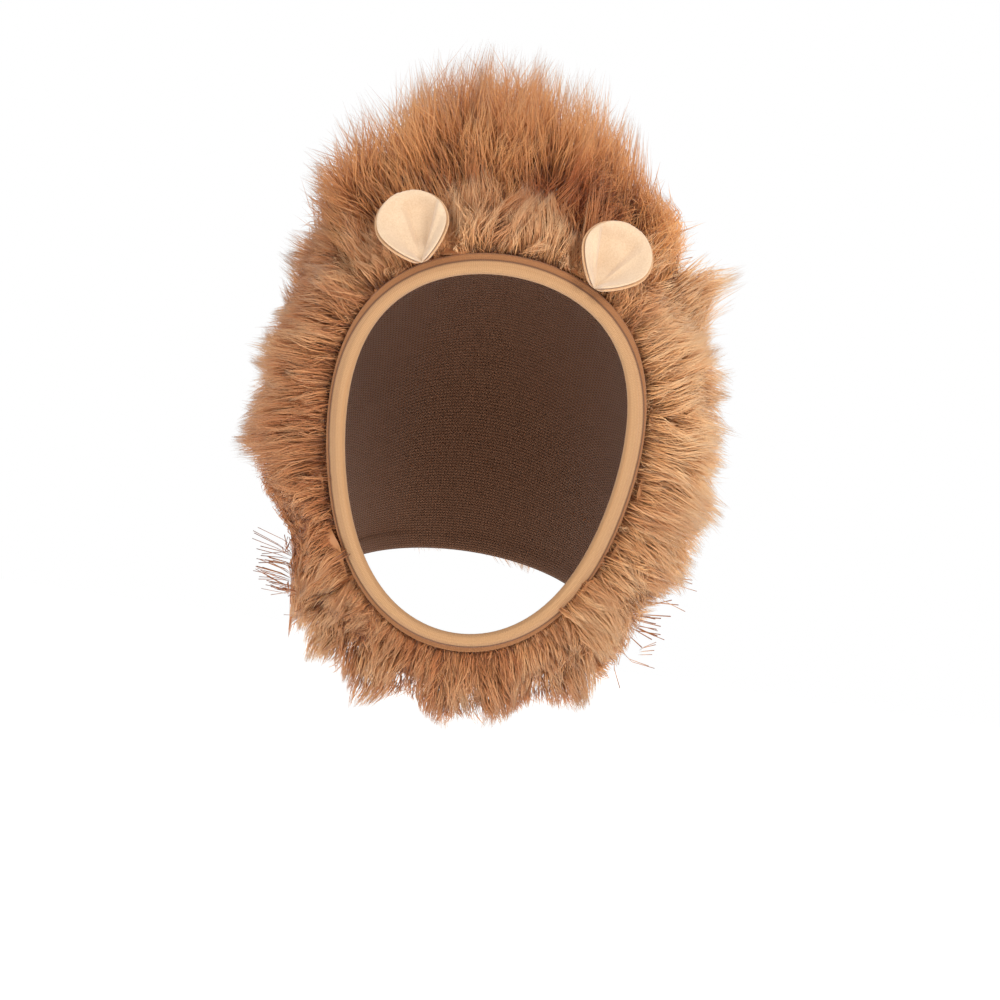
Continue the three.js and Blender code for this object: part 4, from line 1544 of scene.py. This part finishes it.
    def build(self, frame: dict, cloth: HoodCloth, ears: list[Ear]) -> None:
        """Makes the panel's piece and dresses it.

        Args:
            cloth: The hood's cloth.
            ears: The ears.
        """
        node, rng = frame["nodes"][self.name], np.random.default_rng(self.seed)
        solids = {panel.name: frame["nodes"][panel.name] for panel in PANELS}
        forms = tree_of_meshes(list(solids.values()))
        others = tree_of_meshes([solid for name, solid in solids.items() if name != self.name])
        ground = Ground(node, cloth, self.lock_tips(node, cloth), forms, others, rng)
        layers = [
            self.grow_rooted(ground, self.long, True),
            self.grow_rooted(ground, self.upper, False),
            self.grow_tufts(ground),
        ]
        parts = [self.painted_shade_core(ground)]
        for strands in layers:
            for ear in ears:
                self.behind(strands, ear)
            part = bpy.data.objects.new("hairs", strands.mesh("hairs", rng))
            bpy.context.scene.collection.objects.link(part)
            parts.append(part)
        deselect()
        for part in parts:
            part.select_set(True)
        bpy.context.view_layer.objects.active = parts[0]
        bpy.ops.object.join()
        self.piece = parts[0]
        self.piece.name = self.name.replace("_fur", "_hair")
        dress(self.piece, self.finish, (self.name,))


def panel_of(name: str, seed: int, tone: float, hairs: tuple[int, int, int], **own: object) -> FurPanel:
    """A panel with the usual coats.

    Args:
        name: Its CAD node.
        seed: Where its variation starts.
        tone: How pale it is, from 0 to 1.
        hairs: How many long hairs, upper halves and tufts.
        own: What else differs; a coat's name gives what differs in that coat.

    Returns:
        The panel.
    """
    usual = {"long": LONG_COAT, "upper": UPPER_COAT, "tufts": TUFT_COAT}
    coats = {
        key: replace(coat, hairs=count, **own.pop(key, {}))
        for (key, coat), count in zip(usual.items(), hairs)
    }
    return FurPanel(name, seed, tone, **coats, **own)


PANELS = (
    panel_of(
        "brow_fur",
        11,
        0.42,
        (4600, 2400, 900),
        lock_reach=0.016,
        tuft_length=0.014,
        overshoot=1.4,
        hairs_per_lock=60,
        lock_variety=0.42,
    ),
    panel_of(
        "crest_fur",
        12,
        0.56,
        (1200, 10000, 7000),
        long={"curl": 0.45, "stray": 0.22},
        upper={"curl": 0.55, "stray": 0.26},
        tufts={"curl": 0.65, "stray": 0.3},
        slot="crest_fur",
        finish=CREST_FUR,
        lock_pull=0.36,
        overshoot=1.12,
        top_reach=0.020,
        crown=(-0.012, 0.36),
        upright=0.6,
        squeeze=(0.026, 0.3),
        peaks=(
            (-0.078, 0.006),
            (-0.052, 0.008),
            (-0.024, 0.014),
            (-0.001, 0.008),
            (0.024, 0.008),
            (0.044, 0.009),
        ),
        lock_variety=0.2,
        lock_gather=0.3,
    ),
    # The right cheek's higher tone, against the left's, is painted light from the key lamp on the right.
    panel_of("left_cheek_fur", 13, 0.38, (5400, 6000, 4600), tuck=(0.65, 0.0), tuck_from=-0.15),
    panel_of("right_cheek_fur", 14, 0.55, (5400, 6000, 4600), rise=0.35, tuck=(0.0, 0.3)),
    panel_of("throat_fur", 15, 0.34, (4000, 2400, 2200)),
    panel_of(
        "nape_fur",
        16,
        0.44,
        (600, 6600, 5000),
        upper={"thickness": 0.0003, "start": 0.22},
        tufts={"thickness": 0.00024},
        tuft_until=1.6,
        tuck=(0.7, 0.6),
        tuck_from=-0.125,
    ),
)


# The studio


@dataclass
class Studio:
    """A pale floor, soft lights and the camera at the photograph's angle."""

    scale: float = 2300.0  # pixels to the metre at the face
    frame_pixels: float = 1000.0
    lens: float = 300.0
    sensor: float = 36.0
    face_depth: float = -0.05
    aim: tuple[float, float] = (0.0110, -0.1180)
    roll: float = -8.5
    floor_height: float = -0.46
    glow: float = 0.78

    def camera(self) -> None:
        """Makes the camera, which looks along +Y and is rolled as in the photograph."""
        width = self.frame_pixels / self.scale
        distance = width * self.lens / self.sensor
        bpy.ops.object.camera_add(
            location=(self.aim[0], self.face_depth - distance, self.aim[1]),
            rotation=(math.radians(90), math.radians(self.roll), 0),
        )
        camera = bpy.context.object
        camera.name = "studio_camera"
        camera.data.lens = self.lens
        camera.data.sensor_width = self.sensor
        bpy.context.scene.camera = camera

    def lamp(self, name: str, place: Vector, size: float, power: float, tint: Colour) -> None:
        """Adds a soft lamp that points at the wig.

        Args:
            name: Its name.
            place: Where it is.
            size: How wide it is.
            power: In watts.
            tint: Its colour.
        """
        deselect()
        bpy.ops.object.light_add(type="AREA", location=place)
        lamp = bpy.context.object
        lamp.name = name
        lamp.data.shape = "DISK"
        lamp.data.size = size
        lamp.data.energy = power
        lamp.data.color = tint
        lamp.rotation_euler = (Vector((0, 0, -0.08)) - place).to_track_quat("-Z", "Y").to_euler()

    def floor(self) -> None:
        """Makes the floor."""
        deselect()
        bpy.ops.mesh.primitive_plane_add(size=30, location=(0, 0, self.floor_height))
        floor = bpy.context.object
        floor.name = "studio_floor"
        wiring = Wiring("pale floor")
        floor.data.materials.append(
            wiring.finish(
                srgb(250, 250, 250), 0.9, Emission_Color=(1.0, 1.0, 1.0, 1.0), Emission_Strength=0.42
            )
        )

    def world(self) -> None:
        """Makes the surroundings, white to the camera and softer as a light."""
        world = bpy.context.scene.world or bpy.data.worlds.new("Studio")
        bpy.context.scene.world = world
        world.use_nodes = True
        tree = world.node_tree
        glow = tree.nodes["Background"]
        glow.inputs["Color"].default_value = (1.0, 0.99, 0.98, 1.0)
        glow.inputs["Strength"].default_value = self.glow
        white = tree.nodes.new("ShaderNodeBackground")
        white.inputs["Color"].default_value = (1.0, 1.0, 1.0, 1.0)
        choice = tree.nodes.new("ShaderNodeMixShader")
        seen = tree.nodes.new("ShaderNodeLightPath")
        tree.links.new(seen.outputs["Is Camera Ray"], choice.inputs["Fac"])
        tree.links.new(glow.outputs["Background"], choice.inputs[1])
        tree.links.new(white.outputs["Background"], choice.inputs[2])
        tree.links.new(choice.outputs["Shader"], tree.nodes["World Output"].inputs["Surface"])

    def build(self) -> None:
        """Builds the whole studio."""
        self.floor()
        self.world()
        self.lamp("key light", Vector((0.9, -1.3, 0.75)), 0.8, 15.0, (1.0, 0.97, 0.93))
        self.lamp("fill light", Vector((-1.3, -1.2, 0.1)), 1.0, 5.0, (0.96, 0.98, 1.0))
        self.lamp("rim light", Vector((0.3, 1.1, 0.9)), 0.8, 9.0, (1.0, 1.0, 1.0))
        self.camera()
        bpy.context.scene.view_settings.view_transform = "Standard"

def main() -> None:
    """Builds the wig and its studio in order."""
    logging.basicConfig(level=logging.INFO, format="%(name)s: %(message)s")
    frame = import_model()
    cloth = HoodCloth().build(frame)
    binding = FaceBinding().build(frame)
    ears = [Ear(side).build(frame) for side in Side]
    for panel in PANELS:
        panel.build(frame, cloth, ears)
    cloth.dress()
    binding.dress()
    for ear in ears:
        ear.dress()
    Studio().build()


if __name__ == "__main__":
    main()
